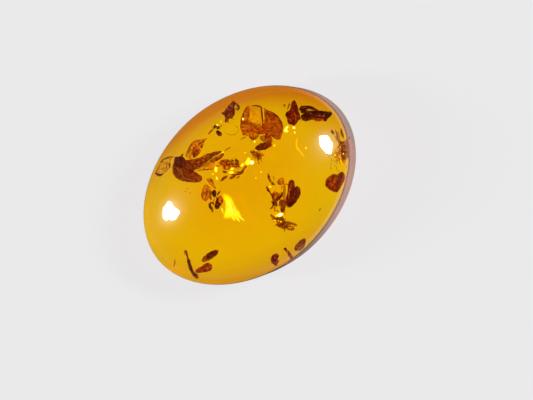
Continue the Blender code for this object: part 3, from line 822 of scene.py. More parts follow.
@dataclass(frozen=True)
class Blade:
    """A leaf, scale, chip or drop-shaped crack, with its rim as drawn on the picture.

    Attributes:
        rim: The rim's points, on the picture.
        thick: Its greatest thickness.
        lift: How far its middle lies above the debris layer.
        tone: Its tone at the middle and at the rim, 0 dark to 1 pale.
        full: How far out it keeps its thickness. 2 is a lens, 8 a plate with a steep edge.
        ragged: How far the rim wanders.
        crumple: How far its middle surface wanders up and down.
        rough: How much its thickness varies, as a share.
        curl: How far the rim lies above the middle.
        grain: The size of its unevenness.
        frays: How many fine fibres stand out from the rim.
        veins: How many fine ribs run over it, above and below.
        fibre: The half width of the frays and ribs.
    """

    rim: Pixels
    thick: float
    lift: float = 0.0
    tone: tuple[float, float] = (0.5, 0.5)
    full: float = 3.0
    ragged: float = 0.02
    crumple: float = 0.03
    rough: float = 0.25
    curl: float = 0.0
    grain: float = 0.5
    frays: int = 0
    veins: int = 0
    fibre: float = 0.028

    def skin(self, sight: Sight, seed: int, around: int = 72, rings: int = 11) -> Skin:
        """The blade, its frays and its ribs.

        Args:
            sight: The sight that carries the rim into the stone.
            seed: Which unevenness.
            around: Points round the rim.
            rings: Rings from the middle to the rim.

        Returns:
            The surfaces as one mesh.
        """
        rim = through(sight.under_dome(self.rim), around, cyclic=True)
        middle = rim.mean(axis=0)
        area = np.sum(rim[:, 0] * np.roll(rim[:, 1], -1) - rim[:, 1] * np.roll(rim[:, 0], -1))
        if area < 0:
            rim = rim[::-1]
        reach = rim - middle
        length = np.linalg.norm(reach, axis=1, keepdims=True)
        wander = self.ragged * waves(rim, self.grain * RIM_GRAIN, seed, layers=4)[:, None]
        reach = reach * (1 + wander / np.maximum(length, SHORTEST_REACH))
        r = np.sin(np.linspace(0.0, math.pi / 2, rings + 1)[1:])[:, None, None]
        plan = middle + reach * r
        flat_r = np.broadcast_to(r[..., 0], plan.shape[:2])
        base, half = self.levels(sight, plan, flat_r, seed)
        top = np.concatenate([plan, (base + half)[..., None]], axis=-1)
        under = np.concatenate([plan, (base - half)[..., None]], axis=-1)
        over = np.array([*middle, base[0].mean() + half[0].mean()])
        below = np.array([*middle, base[0].mean() - half[0].mean()])
        marks = self.marks_of(plan, middle, flat_r)
        rings_of = np.concatenate([top, under[-2::-1]])
        body = Skin.closed(over, rings_of, below, np.concatenate([marks, marks[-2::-1]]))
        chance = np.random.default_rng(seed + 3)
        fibres = [self.fray(sight, middle, reach, seed, chance) for _ in range(self.frays)]
        fibres += [self.vein(sight, middle, reach, seed, chance) for _ in range(self.veins)]
        return Skin.joined([body, *fibres])

    def levels(self, sight: Sight, plan: Array, r: Array, seed: int) -> tuple[Array, Array]:
        """The middle surface's height and half the thickness.

        The height is the layer's, plus the lift, plus curl times r squared, plus the crumple. Half
        the thickness goes with the square root of 1 - r to the power full.

        Args:
            sight: The sight, for the layer.
            plan: Places across the stone.
            r: Each place's share of the way from the middle to the rim.
            seed: Which unevenness.

        Returns:
            The height and the half thickness at each place.
        """
        crumple = self.crumple * waves(plan, self.grain, seed + 1)
        base = sight.stone.layer(plan[..., 0], plan[..., 1]) + self.lift + crumple + self.curl * r**2
        uneven = 1 + self.rough * waves(plan, self.grain * THICKNESS_GRAIN, seed + 2)
        return base, self.thick / 2 * np.sqrt(1 - np.minimum(r, 1.0) ** self.full) * uneven

    def marks_of(self, plan: Array, middle: Array, r: Array) -> Array:
        """The marks: tone, nearness to the rim, and places along and across the longest way."""
        offset = plan - middle
        spread = offset[-1]
        _, axes = np.linalg.eigh(spread.T @ spread)
        along = offset @ axes[:, 1]
        across = offset @ axes[:, 0]
        tone = self.tone[0] + (self.tone[1] - self.tone[0]) * r**2
        span = np.abs(along).max() * 2
        return np.stack([tone, r, 0.5 + along / span, across / span + 0.5], axis=-1)

    def fray(self, sight: Sight, middle: Array, reach: Array, seed: int, chance: np.random.Generator) -> Skin:
        """A short bent fibre that stands out from the rim, up to a third of the reach long."""
        edge = reach[chance.integers(len(reach))]
        out = edge / np.linalg.norm(edge)
        turn = chance.uniform(-FRAY_TURN, FRAY_TURN)
        way = out * math.cos(turn) + np.array([-out[1], out[0]]) * math.sin(turn)
        length = chance.uniform(*FRAY_LENGTHS)
        t = np.linspace(0.0, 1.0, FRAY_STEPS)[:, None]
        bend = np.array([-way[1], way[0]]) * chance.uniform(-FRAY_BEND, FRAY_BEND)
        plan = middle + edge * FRAY_START + (way * t + bend * t**2) * length
        base, _ = self.levels(sight, plan, np.ones(FRAY_STEPS), seed)
        height = base + self.thick * chance.uniform(-0.3, 0.3) * t[:, 0]
        radius = self.fibre * (1.1 - 0.8 * t[:, 0])
        tones = np.full(FRAY_STEPS, self.tone[1] + chance.uniform(-0.3, 0.3))
        return self.fibre_tube(plan, height, radius, tones)

    def vein(self, sight: Sight, middle: Array, reach: Array, seed: int, chance: np.random.Generator) -> Skin:
        """A fine rib from the rim inwards, on the upper or the lower face."""
        t = np.linspace(0.0, 1.0, VEIN_STEPS)[:, None]
        start = chance.integers(len(reach))
        end = (start + chance.integers(len(reach) // 4, 3 * len(reach) // 4)) % len(reach)
        first, last = reach[start] * VEIN_START, reach[end] * chance.uniform(*VEIN_ENDS)
        bend = np.array([first[1], -first[0]]) * chance.uniform(-VEIN_BEND, VEIN_BEND)
        offset = first + (last - first) * t + bend * t * (1 - t) * 2
        r = np.linspace(VEIN_START, np.linalg.norm(last) / np.linalg.norm(reach[end]), VEIN_STEPS)
        base, half = self.levels(sight, middle + offset, r, seed)
        height = base + half * chance.choice([-1.0, 1.0])
        radius = self.fibre * (0.5 + np.sin(math.pi * t[:, 0]))
        tones = np.full(VEIN_STEPS, self.tone[0] + chance.choice([-1.0, 1.0]) * chance.uniform(0.2, 0.5))
        return self.fibre_tube(middle + offset, height, radius, tones)

    @staticmethod
    def fibre_tube(plan: Array, height: Array, radius: Array, tones: Array) -> Skin:
        """A fine six-sided tube along places across the stone and their heights."""
        places = np.concatenate([plan, height[:, None]], axis=1)
        return tube(places, radius, FIBRE_FLAT, tones, FIBRE_SIDES, None)


@dataclass(frozen=True)
class Strand:
    """A stalk, splinter, pellet, hair or band, with its middle line as drawn on the picture.

    Attributes:
        path: The middle line's points, on the picture.
        radii: The half width at each point of the path.
        flat: The thickness as a share of the width.
        lifts: How far each end lies above the debris layer.
        tones: The tone at each end, 0 dark to 1 pale.
        ridges: How many ridges run along it.
        ridge: The ridges' height as a share of the radius.
        twist: How many times the ridges turn round it.
        bands: How many rings run round it.
        band: The rings' height as a share of the radius.
        rough: The unevenness of the radius as a share.
        grain: The size of its unevenness.
    """

    path: Pixels
    radii: tuple[float, ...]
    flat: float = 0.7
    lifts: tuple[float, ...] = (0.0,)
    tones: tuple[float, ...] = (0.4,)
    ridges: int = 5
    ridge: float = 0.1
    twist: float = 0.3
    bands: float = 0.0
    band: float = 0.0
    rough: float = 0.14
    grain: float = 0.3

    def skin(self, sight: Sight, seed: int, around: int = 20, spacing: float = 0.05) -> Skin:
        """The strand as a closed tube.

        The radius is that of the path's points, rounded off at both ends, times 1 plus the ridges'
        cosine, the bands' cosine and the unevenness.

        Args:
            sight: The sight that carries the path into the stone.
            seed: Which unevenness.
            around: Points round the profile.
            spacing: The way from profile to profile.

        Returns:
            The surface.
        """
        plan = sight.under_dome(self.path)
        span = np.linalg.norm(np.diff(plan, axis=0), axis=1).sum()
        stations = int(np.clip(span / spacing, *STATIONS))
        knots = np.concatenate([plan, self.spread(self.radii, len(plan))[:, None]], axis=1)
        line = through(knots, stations, cyclic=False)
        s = np.linspace(0.0, 1.0, stations)
        blunt = min(0.5, max(self.radii[0], self.radii[-1]) / span)
        end = np.clip((np.abs(2 * s - 1) - (1 - 2 * blunt)) / (2 * blunt), 0.0, BLUNTEST)
        radius = np.maximum(line[:, 2], THINNEST) * np.sqrt(1 - end**2)
        lift = np.interp(s, np.linspace(0, 1, max(2, len(self.lifts))), self.spread(self.lifts, 2))
        height = sight.stone.layer(line[:, 0], line[:, 1]) + lift
        centre = np.stack([line[:, 0], line[:, 1], height], axis=-1)
        tones = np.interp(s, np.linspace(0, 1, max(2, len(self.tones))), self.spread(self.tones, 2))

        def relief(angle: Array, along: Array, points: Array) -> Array:
            """The factor that the ridges, the bands and the unevenness give the radius."""
            swell = 1 + self.ridge * np.cos(self.ridges * (angle + 2 * math.pi * self.twist * along))
            swell = swell + self.band * np.cos(2 * math.pi * self.bands * along)
            return swell + self.rough * waves(points, self.grain, seed)

        return tube(centre, radius, self.flat, tones, around, relief)

    @staticmethod
    def spread(values: tuple[float, ...], count: int) -> Array:
        """A value for each point, the same for all where only one is given."""
        return np.full(count, values[0]) if len(values) == 1 else np.array(values)


Form = Blade | Strand


def blade(thick: float, tone: float, *rim: float, **looks: Any) -> Blade:
    """A blade that is a little darker at its rim than its tone."""
    return Blade(rim, thick, tone=(tone, tone - 0.1), **looks)


def spot(tone: float, *oval: float, thick: float = 0.08, **looks: Any) -> Blade:
    """A small oval blade: its middle, its half width and its half height, on the picture."""
    x, y, half_width, half_height = oval
    angles = np.linspace(0.0, 2 * math.pi, 6, endpoint=False)
    rim = np.stack([x + half_width * np.cos(angles), y + half_height * np.sin(angles)], axis=-1)
    return Blade(tuple(rim.ravel().tolist()), thick, tone=(tone, tone), ragged=0.01, crumple=0.0, **looks)


def thread(half_width: float, tone: float, *path: float, lift: float = 0.0, **looks: Any) -> Strand:
    """A strand, with one lift, that tapers towards both its ends as fibres and slivers do."""
    shares = np.linspace(0.0, 1.0, len(path) // 2)
    radii = half_width * (THREAD_END + (1 - THREAD_END) * np.sin(math.pi * shares) ** THREAD_FULLNESS)
    return Strand(path, tuple(radii.tolist()), lifts=(lift,), tones=(tone,), **looks)


def pellet(radius: float, tone: float, *ends: float, **looks: Any) -> Strand:
    """A plump pellet between two places on the picture: an ellipse carried along its length."""
    shares = np.array(PELLET_SHARES)[:, None]
    path = np.array(ends[:2]) * (1 - shares) + np.array(ends[2:]) * shares
    radii = radius * np.sqrt(np.maximum(PELLET_END, 1 - (2 * shares[:, 0] - 1) ** 2))
    plump = {"flat": 1.0, "ridges": 7, "ridge": 0.04, "tones": (tone,)}
    return Strand(tuple(path.ravel().tolist()), tuple(radii.tolist()), **{**plump, **looks})


@dataclass(frozen=True)
class Scrap:
    """One piece of debris: its name, its finish, the node that it stands for, and its forms."""

    name: str
    finish: DebrisFinish | GlintFinish
    forms: tuple[Form, ...]
    node: str | None = None


@dataclass
class Workshop:
    """What every sub-assembly is built with: the sight, and the finishes made so far."""

    sight: Sight
    finishes: dict[str, bpy.types.Material] = field(default_factory=dict)
    built: int = 0

    def material(self, finish: Finish) -> bpy.types.Material:
        """The material of a finish, made once."""
        if finish.name not in self.finishes:
            self.finishes[finish.name] = finish.make()
        return self.finishes[finish.name]

    def set_in(self, piece: bpy.types.Object, nodes: Sequence[str]) -> None:
        """Lets a piece ride on the stone and hides the nodes that it stands for."""
        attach(piece, "root")
        if nodes:
            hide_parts(*nodes)
        log.info("%s: %d faces", piece.name, len(piece.data.polygons))

    def build(self, scrap: Scrap) -> None:
        """Makes one scrap of debris and sets it in the stone."""
        skins = []
        for form in scrap.forms:
            self.built += 1
            skins.append(form.skin(self.sight, 10 * self.built))
        piece = Skin.joined(skins).make(scrap.name, self.material(scrap.finish))
        slot = scrap.finish.slot if isinstance(scrap.finish, DebrisFinish) else None
        self.set_in(piece, [scrap.node] if scrap.node else [])


def scrap(node: str, finish: DebrisFinish, *forms: Form) -> Scrap:
    """A scrap that stands for its node."""
    return Scrap(node + "_fine", finish, forms, node)


# The debris, cluster by cluster


@dataclass
class UpperLeft:
    """A ragged chip, a knotted bud, a tiny seed and a curved hair."""

    chip_thick: float = 0.3
    bud_thick: float = 0.24
    hair: float = 0.028

    def scraps(self) -> list[Scrap]:
        """The cluster's scraps."""
        chip = blade(
            self.chip_thick, 0.42, 233.6, 100.6, 235.2, 103.4, 234.8, 107.4, 234.2, 112.0, 234.4, 115.0,
            231.6, 118.4, 229.0, 119.4, 227.6, 122.4, 225.2, 122.6, 225.2, 119.0, 226.0, 117.2, 224.0, 115.6,
            221.6, 112.6, 224.2, 111.4, 226.0, 108.0, 228.6, 105.4, 231.2, 103.0, ragged=0.04, crumple=0.06,
            full=5.0, frays=9, veins=7,
        )
        bud = blade(
            self.bud_thick, 0.25, 213.6, 128.0, 214.0, 126.0, 215.5, 124.4, 216.4, 126.0, 219.4, 126.8,
            218.6, 128.8, 217.0, 129.0, 216.0, 127.4, 214.6, 128.6, frays=4,
        )
        hair = thread(
            self.hair, 0.75, 223.5, 132.5, 228.0, 134.2, 232.0, 135.0, 235.5, 134.2, 237.7, 131.5,
            238.0, 128.6, 236.5, 126.5, 234.5, 125.0,
        )
        return [
            scrap(
                "ragged_chip", HUSK, chip,
                thread(0.09, 0.3, 234.4, 102.6, 237.4, 105.0, 238.9, 107.4, 237.8, 109.4, 235.4, 107.8),
                thread(0.06, 0.1, 234.2, 107.0, 234.3, 111.0, 233.8, 114.6, 231.0, 118.0, lift=0.12),
            ),
            scrap(
                "knotted_bud", BARK, bud,
                thread(0.05, 0.5, 218.6, 127.6, 220.4, 126.6, 222.6, 125.0),
                thread(0.07, 0.75, 214.4, 127.6, 211.2, 131.0, 209.0, 133.2, 207.9, 133.7),
            ),
            scrap("tiny_seed", BARK, pellet(0.17, 0.12, 216.3, 130.8, 221.8, 135.6)),
            Scrap("curved_hair", LEAF, (hair,)),
        ]


@dataclass
class UpperMiddle:
    """The round scale, the rod-shaped pellet under it and a starlike crumb."""

    membrane: float = 0.06
    fold: float = 0.12
    vein: float = 0.062
    pellet_radius: float = 0.26

    def scale(self) -> tuple[Form, ...]:
        """The round scale: its lobes, its clear window, the dark arch round that, and its ragged foot."""
        right_lobe = blade(
            self.fold, 0.5, 263.6, 107.6, 266.2, 109.4, 269.4, 110.9, 272.4, 112.4, 276.0, 115.2,
            279.4, 118.8, 282.0, 123.2, 283.2, 127.4, 282.6, 131.6, 281.6, 136.0, 280.0, 139.4, 275.6, 139.0,
            271.2, 136.4, 269.0, 136.2, 266.8, 134.6, 264.0, 130.6, 262.6, 126.4, 264.6, 122.0, 265.2, 116.0,
            264.4, 111.0, lift=0.02, crumple=0.05, full=8.0, veins=12,
        )
        foot = blade(
            self.fold, 0.62, 241.2, 122.6, 246.0, 121.0, 250.6, 121.6, 256.0, 123.0, 261.6, 124.6,
            266.4, 127.2, 267.4, 132.0, 263.4, 134.2, 260.4, 133.4, 258.4, 136.4, 256.0, 138.6, 252.6, 139.0,
            249.6, 137.6, 247.4, 135.2, 244.2, 135.6, 241.8, 134.0, 240.7, 130.0, 240.6, 126.0, lift=0.03,
            ragged=0.05, crumple=0.06, full=8.0, grain=0.35, veins=14, frays=6,
        )
        left_lobe = blade(
            self.fold, 0.66, 247.6, 106.0, 249.6, 107.2, 249.4, 111.0, 248.4, 115.0, 248.6, 119.0,
            251.0, 122.6, 246.0, 124.0, 241.0, 123.6, 241.6, 119.0, 242.8, 114.6, 244.6, 110.4, lift=0.04,
            ragged=0.03, crumple=0.05, full=8.0, veins=6,
        )
        window = blade(
            self.membrane, 1.35, 249.6, 107.4, 256.0, 106.2, 260.8, 107.6, 261.4, 115.0, 262.0, 123.0,
            257.0, 123.8, 250.4, 122.0, 248.4, 116.6, 249.2, 111.0, lift=-0.05, ragged=0.01, crumple=0.02,
            veins=3, fibre=0.016,
        )
        veil = blade(
            0.06, 0.66, 260.6, 136.4, 266.0, 135.6, 271.0, 137.0, 272.0, 140.4, 270.4, 143.6, 265.0, 143.4,
            261.4, 140.6, lift=-0.02, ragged=0.08, crumple=0.05, grain=0.3, veins=5, frays=6,
        )
        lifted = {"lift": 0.09}
        return (
            right_lobe, foot, left_lobe, window, veil,
            thread(
                self.vein, 0.12, 251.4, 105.4, 256.0, 105.3, 260.0, 106.1, 261.7, 107.8, 261.6, 110.4,
                **lifted,
            ),
            thread(
                0.075, 0.08, 261.4, 107.6, 261.7, 111.0, 262.3, 116.0, 262.9, 121.0, 262.6, 124.6, **lifted,
            ),
            thread(0.09, 0.1, 262.2, 122.4, 263.2, 124.0, 263.8, 126.0, lift=0.12),
            thread(0.05, 0.85, 263.6, 108.6, 264.6, 112.0, 265.0, 117.0, 264.0, 123.4, lift=0.12),
            thread(
                0.06, 0.2, 266.0, 109.6, 272.2, 112.4, 277.6, 116.4, 281.6, 122.4, 283.0, 127.6, lift=0.05,
            ),
            thread(
                0.06, 0.3, 247.2, 106.4, 244.4, 111.0, 242.4, 116.4, 241.2, 122.0, 240.8, 128.0, lift=0.05,
            ),
            thread(0.09, 0.2, 249.4, 136.4, 252.0, 138.4, 255.4, 138.2, 257.4, 135.6, lift=0.08),
            thread(0.08, 0.15, 244.6, 130.0, 247.6, 131.0, 250.0, 133.0, lift=0.1),
            thread(0.1, 0.15, 266.4, 131.0, 267.0, 134.6, 268.6, 136.2, 270.2, 133.4, lift=0.1),
            thread(0.06, 0.3, 252.0, 126.4, 256.0, 128.4, 260.4, 128.2, 263.6, 125.8, lift=0.14),
            thread(0.05, 0.9, 273.0, 129.0, 275.4, 132.4, 274.8, 135.6, lift=0.1),
            thread(0.05, 0.95, 266.4, 127.4, 268.6, 130.0, 272.0, 129.4, lift=0.12),
            thread(0.05, 0.6, 240.4, 140.0, 243.0, 138.0, 247.0, 136.8),
            thread(0.07, 0.35, 264.4, 137.0, 267.0, 139.0, 270.6, 137.6, 271.6, 141.0, lift=0.04),
        )

    def scraps(self) -> list[Scrap]:
        """The cluster's scraps."""
        star = blade(
            0.08, 0.6, 250.6, 151.4, 254.6, 150.8, 257.4, 152.4, 260.4, 152.6, 263.8, 155.2, 261.4, 156.2,
            260.4, 158.6, 257.6, 159.8, 255.6, 156.6, 252.4, 155.2, grain=0.25, ragged=0.1, frays=12,
        )
        return [
            scrap("round_scale", LEAF, *self.scale()),
            scrap(
                "rod_pellet", BARK,
                pellet(self.pellet_radius, 0.3, 254.9, 148.6, 272.2, 144.0, tones=(0.35, 0.4, 0.45, 0.65)),
                thread(0.07, 0.75, 268.6, 141.4, 271.2, 142.4, 271.6, 145.4, 268.6, 147.8, lift=0.16),
            ),
            scrap(
                "bark_crumb", HUSK, star,
                thread(0.09, 0.4, 256.6, 151.6, 257.8, 154.0, 257.2, 156.8, lift=0.04),
                thread(0.07, 0.6, 258.0, 154.6, 261.0, 155.6, 263.9, 155.4, lift=0.04),
                thread(0.06, 0.6, 252.0, 152.0, 254.0, 154.0, 256.8, 154.4, lift=0.04),
                thread(0.07, 0.5, 257.4, 156.4, 258.6, 158.4, 257.4, 160.0, lift=0.02),
                spot(0.7, 258.9, 163.0, 0.8, 1.1),
            ),
        ]


@dataclass
class UpperRight:
    """A pointed flake, a twisted splinter of bark, a feathery frond and a heart-shaped seed."""

    flake_thick: float = 0.28
    splinter_thick: float = 0.34
    frond_thick: float = 0.1
    heart_thick: float = 0.36

    def splinter(self) -> tuple[Form, ...]:
        """The splinter: its dark body, the twisted fibres over it, a thin skirt and pale threads that paint
        its highlights.
        """
        body = blade(
            self.splinter_thick, 0.1, 301.0, 114.6, 304.4, 113.8, 309.0, 111.0, 313.8, 110.8, 318.0, 111.4,
            322.6, 111.0, 327.0, 111.6, 330.0, 113.8, 328.6, 116.0, 326.0, 117.8, 323.0, 118.2, 318.0, 117.0,
            313.4, 118.2, 310.0, 120.2, 306.0, 120.8, 302.8, 119.6, 300.9, 117.2, ragged=0.04, crumple=0.06,
            full=5.0, veins=10, frays=6,
        )
        skirt = blade(
            0.06, 0.95, 312.6, 118.6, 316.0, 117.0, 321.0, 117.0, 325.6, 118.6, 325.0, 120.8, 320.4, 121.6,
            315.4, 121.4, lift=-0.1, ragged=0.04,
        )
        twisted = {"twist": 1.4, "ridge": 0.2}
        return (
            body, skirt,
            Strand(
                (
                    299.6, 110.6, 301.6, 108.4, 305.4, 107.6, 309.4, 107.4, 313.0, 108.2, 316.0, 110.2,
                    319.6, 111.4,
                ),
                (0.1, 0.17, 0.17, 0.13, 0.11, 0.1, 0.06),
                tones=(0.05, 0.15, 0.2), **twisted,
            ),
            Strand(
                (
                    300.6, 111.8, 304.6, 111.4, 308.4, 112.6, 312.6, 114.8, 317.4, 115.0, 322.6, 114.6,
                    326.6, 115.8,
                ),
                (0.08, 0.17, 0.17, 0.15, 0.15, 0.16, 0.1),
                lifts=(0.06, 0.14), tones=(0.1, 0.25, 0.1), **twisted,
            ),
            Strand(
                (
                    302.0, 117.0, 306.4, 118.4, 311.0, 117.0, 315.6, 113.8, 320.4, 112.2, 325.0, 112.0,
                    328.0, 112.8,
                ),
                (0.12, 0.19, 0.16, 0.12, 0.12, 0.1, 0.06),
                lifts=(0.1, 0.18, 0.06), tones=(0.3, 0.15, 0.1), **twisted,
            ),
            thread(
                0.1, 0.15, 321.0, 114.6, 325.0, 117.4, 328.0, 116.8, 330.6, 113.8, 328.4, 111.6, **twisted,
            ),
            # painted highlights: pale threads laid over the dark splinter where it catches the light
            thread(0.04, 0.9, 309.6, 109.6, 311.8, 109.0, 314.0, 109.6, lift=0.24),
            thread(0.035, 0.8, 310.4, 113.4, 312.4, 113.2, 314.6, 113.8, lift=0.3),
            thread(0.1, 0.2, 322.6, 117.4, 325.0, 120.2, 327.2, 118.4),
            # painted highlight: a pale thread along the splinter
            thread(0.04, 0.95, 315.6, 115.4, 320.6, 115.4, 326.0, 116.4, lift=0.3),
        )

    def frond(self) -> tuple[Form, ...]:
        """The frond: a torn blade, its prongs and the flecks below it."""
        fill = blade(
            self.frond_thick, 0.55, 339.4, 142.8, 342.6, 141.8, 345.6, 141.4, 347.6, 143.0, 348.6, 146.4,
            348.8, 150.6, 348.4, 155.0, 346.6, 158.4, 344.4, 160.6, 342.2, 157.6, 341.4, 153.6, 339.6, 149.6,
            338.4, 145.8, ragged=0.08, crumple=0.06, full=6.0, grain=0.3, veins=12, frays=10,
        )
        veil = blade(
            0.05, 1.2, 337.6, 146.0, 340.4, 150.0, 341.8, 155.0, 343.0, 160.0, 340.0, 162.6, 336.0, 160.2,
            333.6, 156.6, 335.6, 151.4, lift=-0.04, ragged=0.12, grain=0.25, veins=12, frays=16,
        )
        flecks = (
            (328.6, 155.4, 330.0, 157.6), (331.0, 158.4, 332.0, 161.6), (333.2, 160.6, 334.6, 162.2),
            (326.4, 153.4, 327.8, 155.0), (330.6, 163.0, 331.4, 165.2), (336.6, 161.6, 337.2, 164.6),
            (339.6, 162.0, 340.8, 164.6), (336.4, 166.6, 336.8, 170.4), (340.6, 166.0, 341.1, 168.6),
            (343.6, 162.0, 344.4, 164.8), (330.2, 167.0, 331.4, 169.4), (334.6, 164.8, 335.6, 166.8),
            (326.8, 137.0, 328.6, 139.4), (344.8, 165.4, 345.0, 167.6), (338.4, 169.8, 338.8, 172.0),
            (332.6, 153.6, 334.0, 155.4), (334.4, 148.6, 335.2, 151.0), (329.8, 151.8, 331.0, 153.6),
        )
        return (
            fill, veil,
            thread(0.11, 0.3, 331.2, 129.2, 332.4, 132.2, 334.2, 134.8),
            thread(0.06, 0.7, 334.2, 134.8, 336.4, 138.4, 338.6, 142.0, 339.6, 146.0),
            thread(0.065, 0.4, 334.9, 129.0, 336.4, 133.0, 338.0, 138.0, 340.4, 141.8, 343.4, 143.8),
            thread(0.07, 0.3, 340.2, 128.4, 340.8, 131.8, 341.9, 135.2, 342.8, 138.2),
            thread(0.06, 0.4, 338.4, 139.4, 341.0, 142.2, 344.0, 141.8, 345.4, 138.8, 345.3, 134.6),
            thread(0.07, 0.5, 345.6, 135.6, 346.2, 140.0, 347.4, 144.2, 348.2, 148.6),
            thread(0.05, 0.5, 347.8, 135.8, 348.2, 139.4, 347.6, 143.4),
            thread(0.06, 0.7, 337.4, 130.6, 338.8, 134.6, 339.8, 138.2),
            thread(0.08, 0.3, 341.8, 150.4, 342.9, 153.2, 342.2, 155.8, 343.8, 158.6, lift=0.08),
            thread(0.07, 0.35, 346.4, 149.0, 347.2, 153.0, 346.0, 157.4, lift=0.06),
            thread(0.07, 0.4, 338.0, 146.0, 340.4, 151.0, 338.8, 154.6, lift=0.04),
            thread(0.06, 0.5, 336.0, 152.4, 338.2, 156.6, 340.8, 160.2),
            thread(0.05, 0.5, 342.0, 159.0, 343.8, 162.0, 345.0, 159.4),
            *(thread(0.07, 0.65, *fleck, flat=0.5) for fleck in flecks),
        )

    def scraps(self) -> list[Scrap]:
        """The cluster's scraps."""
        flake = blade(
            self.flake_thick, 0.38, 294.0, 100.2, 296.2, 102.8, 297.6, 107.0, 298.8, 111.2, 300.2, 115.2,
            300.6, 118.4, 298.2, 121.2, 295.6, 124.6, 293.0, 125.6, 290.0, 124.2, 287.6, 122.6, 287.0, 118.4,
            285.3, 115.0, 286.8, 111.6, 289.6, 110.4, 290.6, 107.0, 291.6, 103.0, crumple=0.04, full=6.0,
            veins=9, frays=3,
        )
        heart = blade(
            self.heart_thick, 0.55, 325.2, 183.4, 326.4, 179.4, 330.4, 175.4, 335.0, 174.0, 338.0, 175.6,
            340.0, 172.6, 342.2, 171.8, 343.6, 174.4, 342.2, 181.4, 339.8, 187.0, 337.0, 192.2, 333.4, 191.6,
            329.2, 189.8, 326.0, 186.4, full=7.0, rough=0.12, veins=6,
        )
        return [
            scrap(
                "pointed_flake", SEED, flake,
                thread(0.05, 0.3, 289.8, 102.6, 288.6, 106.0, 287.4, 110.0),
                spot(0.55, 284.5, 105.4, 1.1, 1.3),
            ),
            scrap("bark_splinter", BARK, *self.splinter()),
            scrap("fern_frond", FROND, *self.frond()),
            scrap(
                "heart_seed", SEED, heart,
                thread(
                    0.07, 0.15, 340.4, 173.4, 340.0, 177.0, 338.8, 181.4, 337.6, 186.4, 336.6, 191.0,
                    lift=0.16,
                ),
                thread(0.05, 0.2, 342.6, 174.4, 341.8, 179.4, 339.8, 184.6, lift=0.17),
            ),
        ]


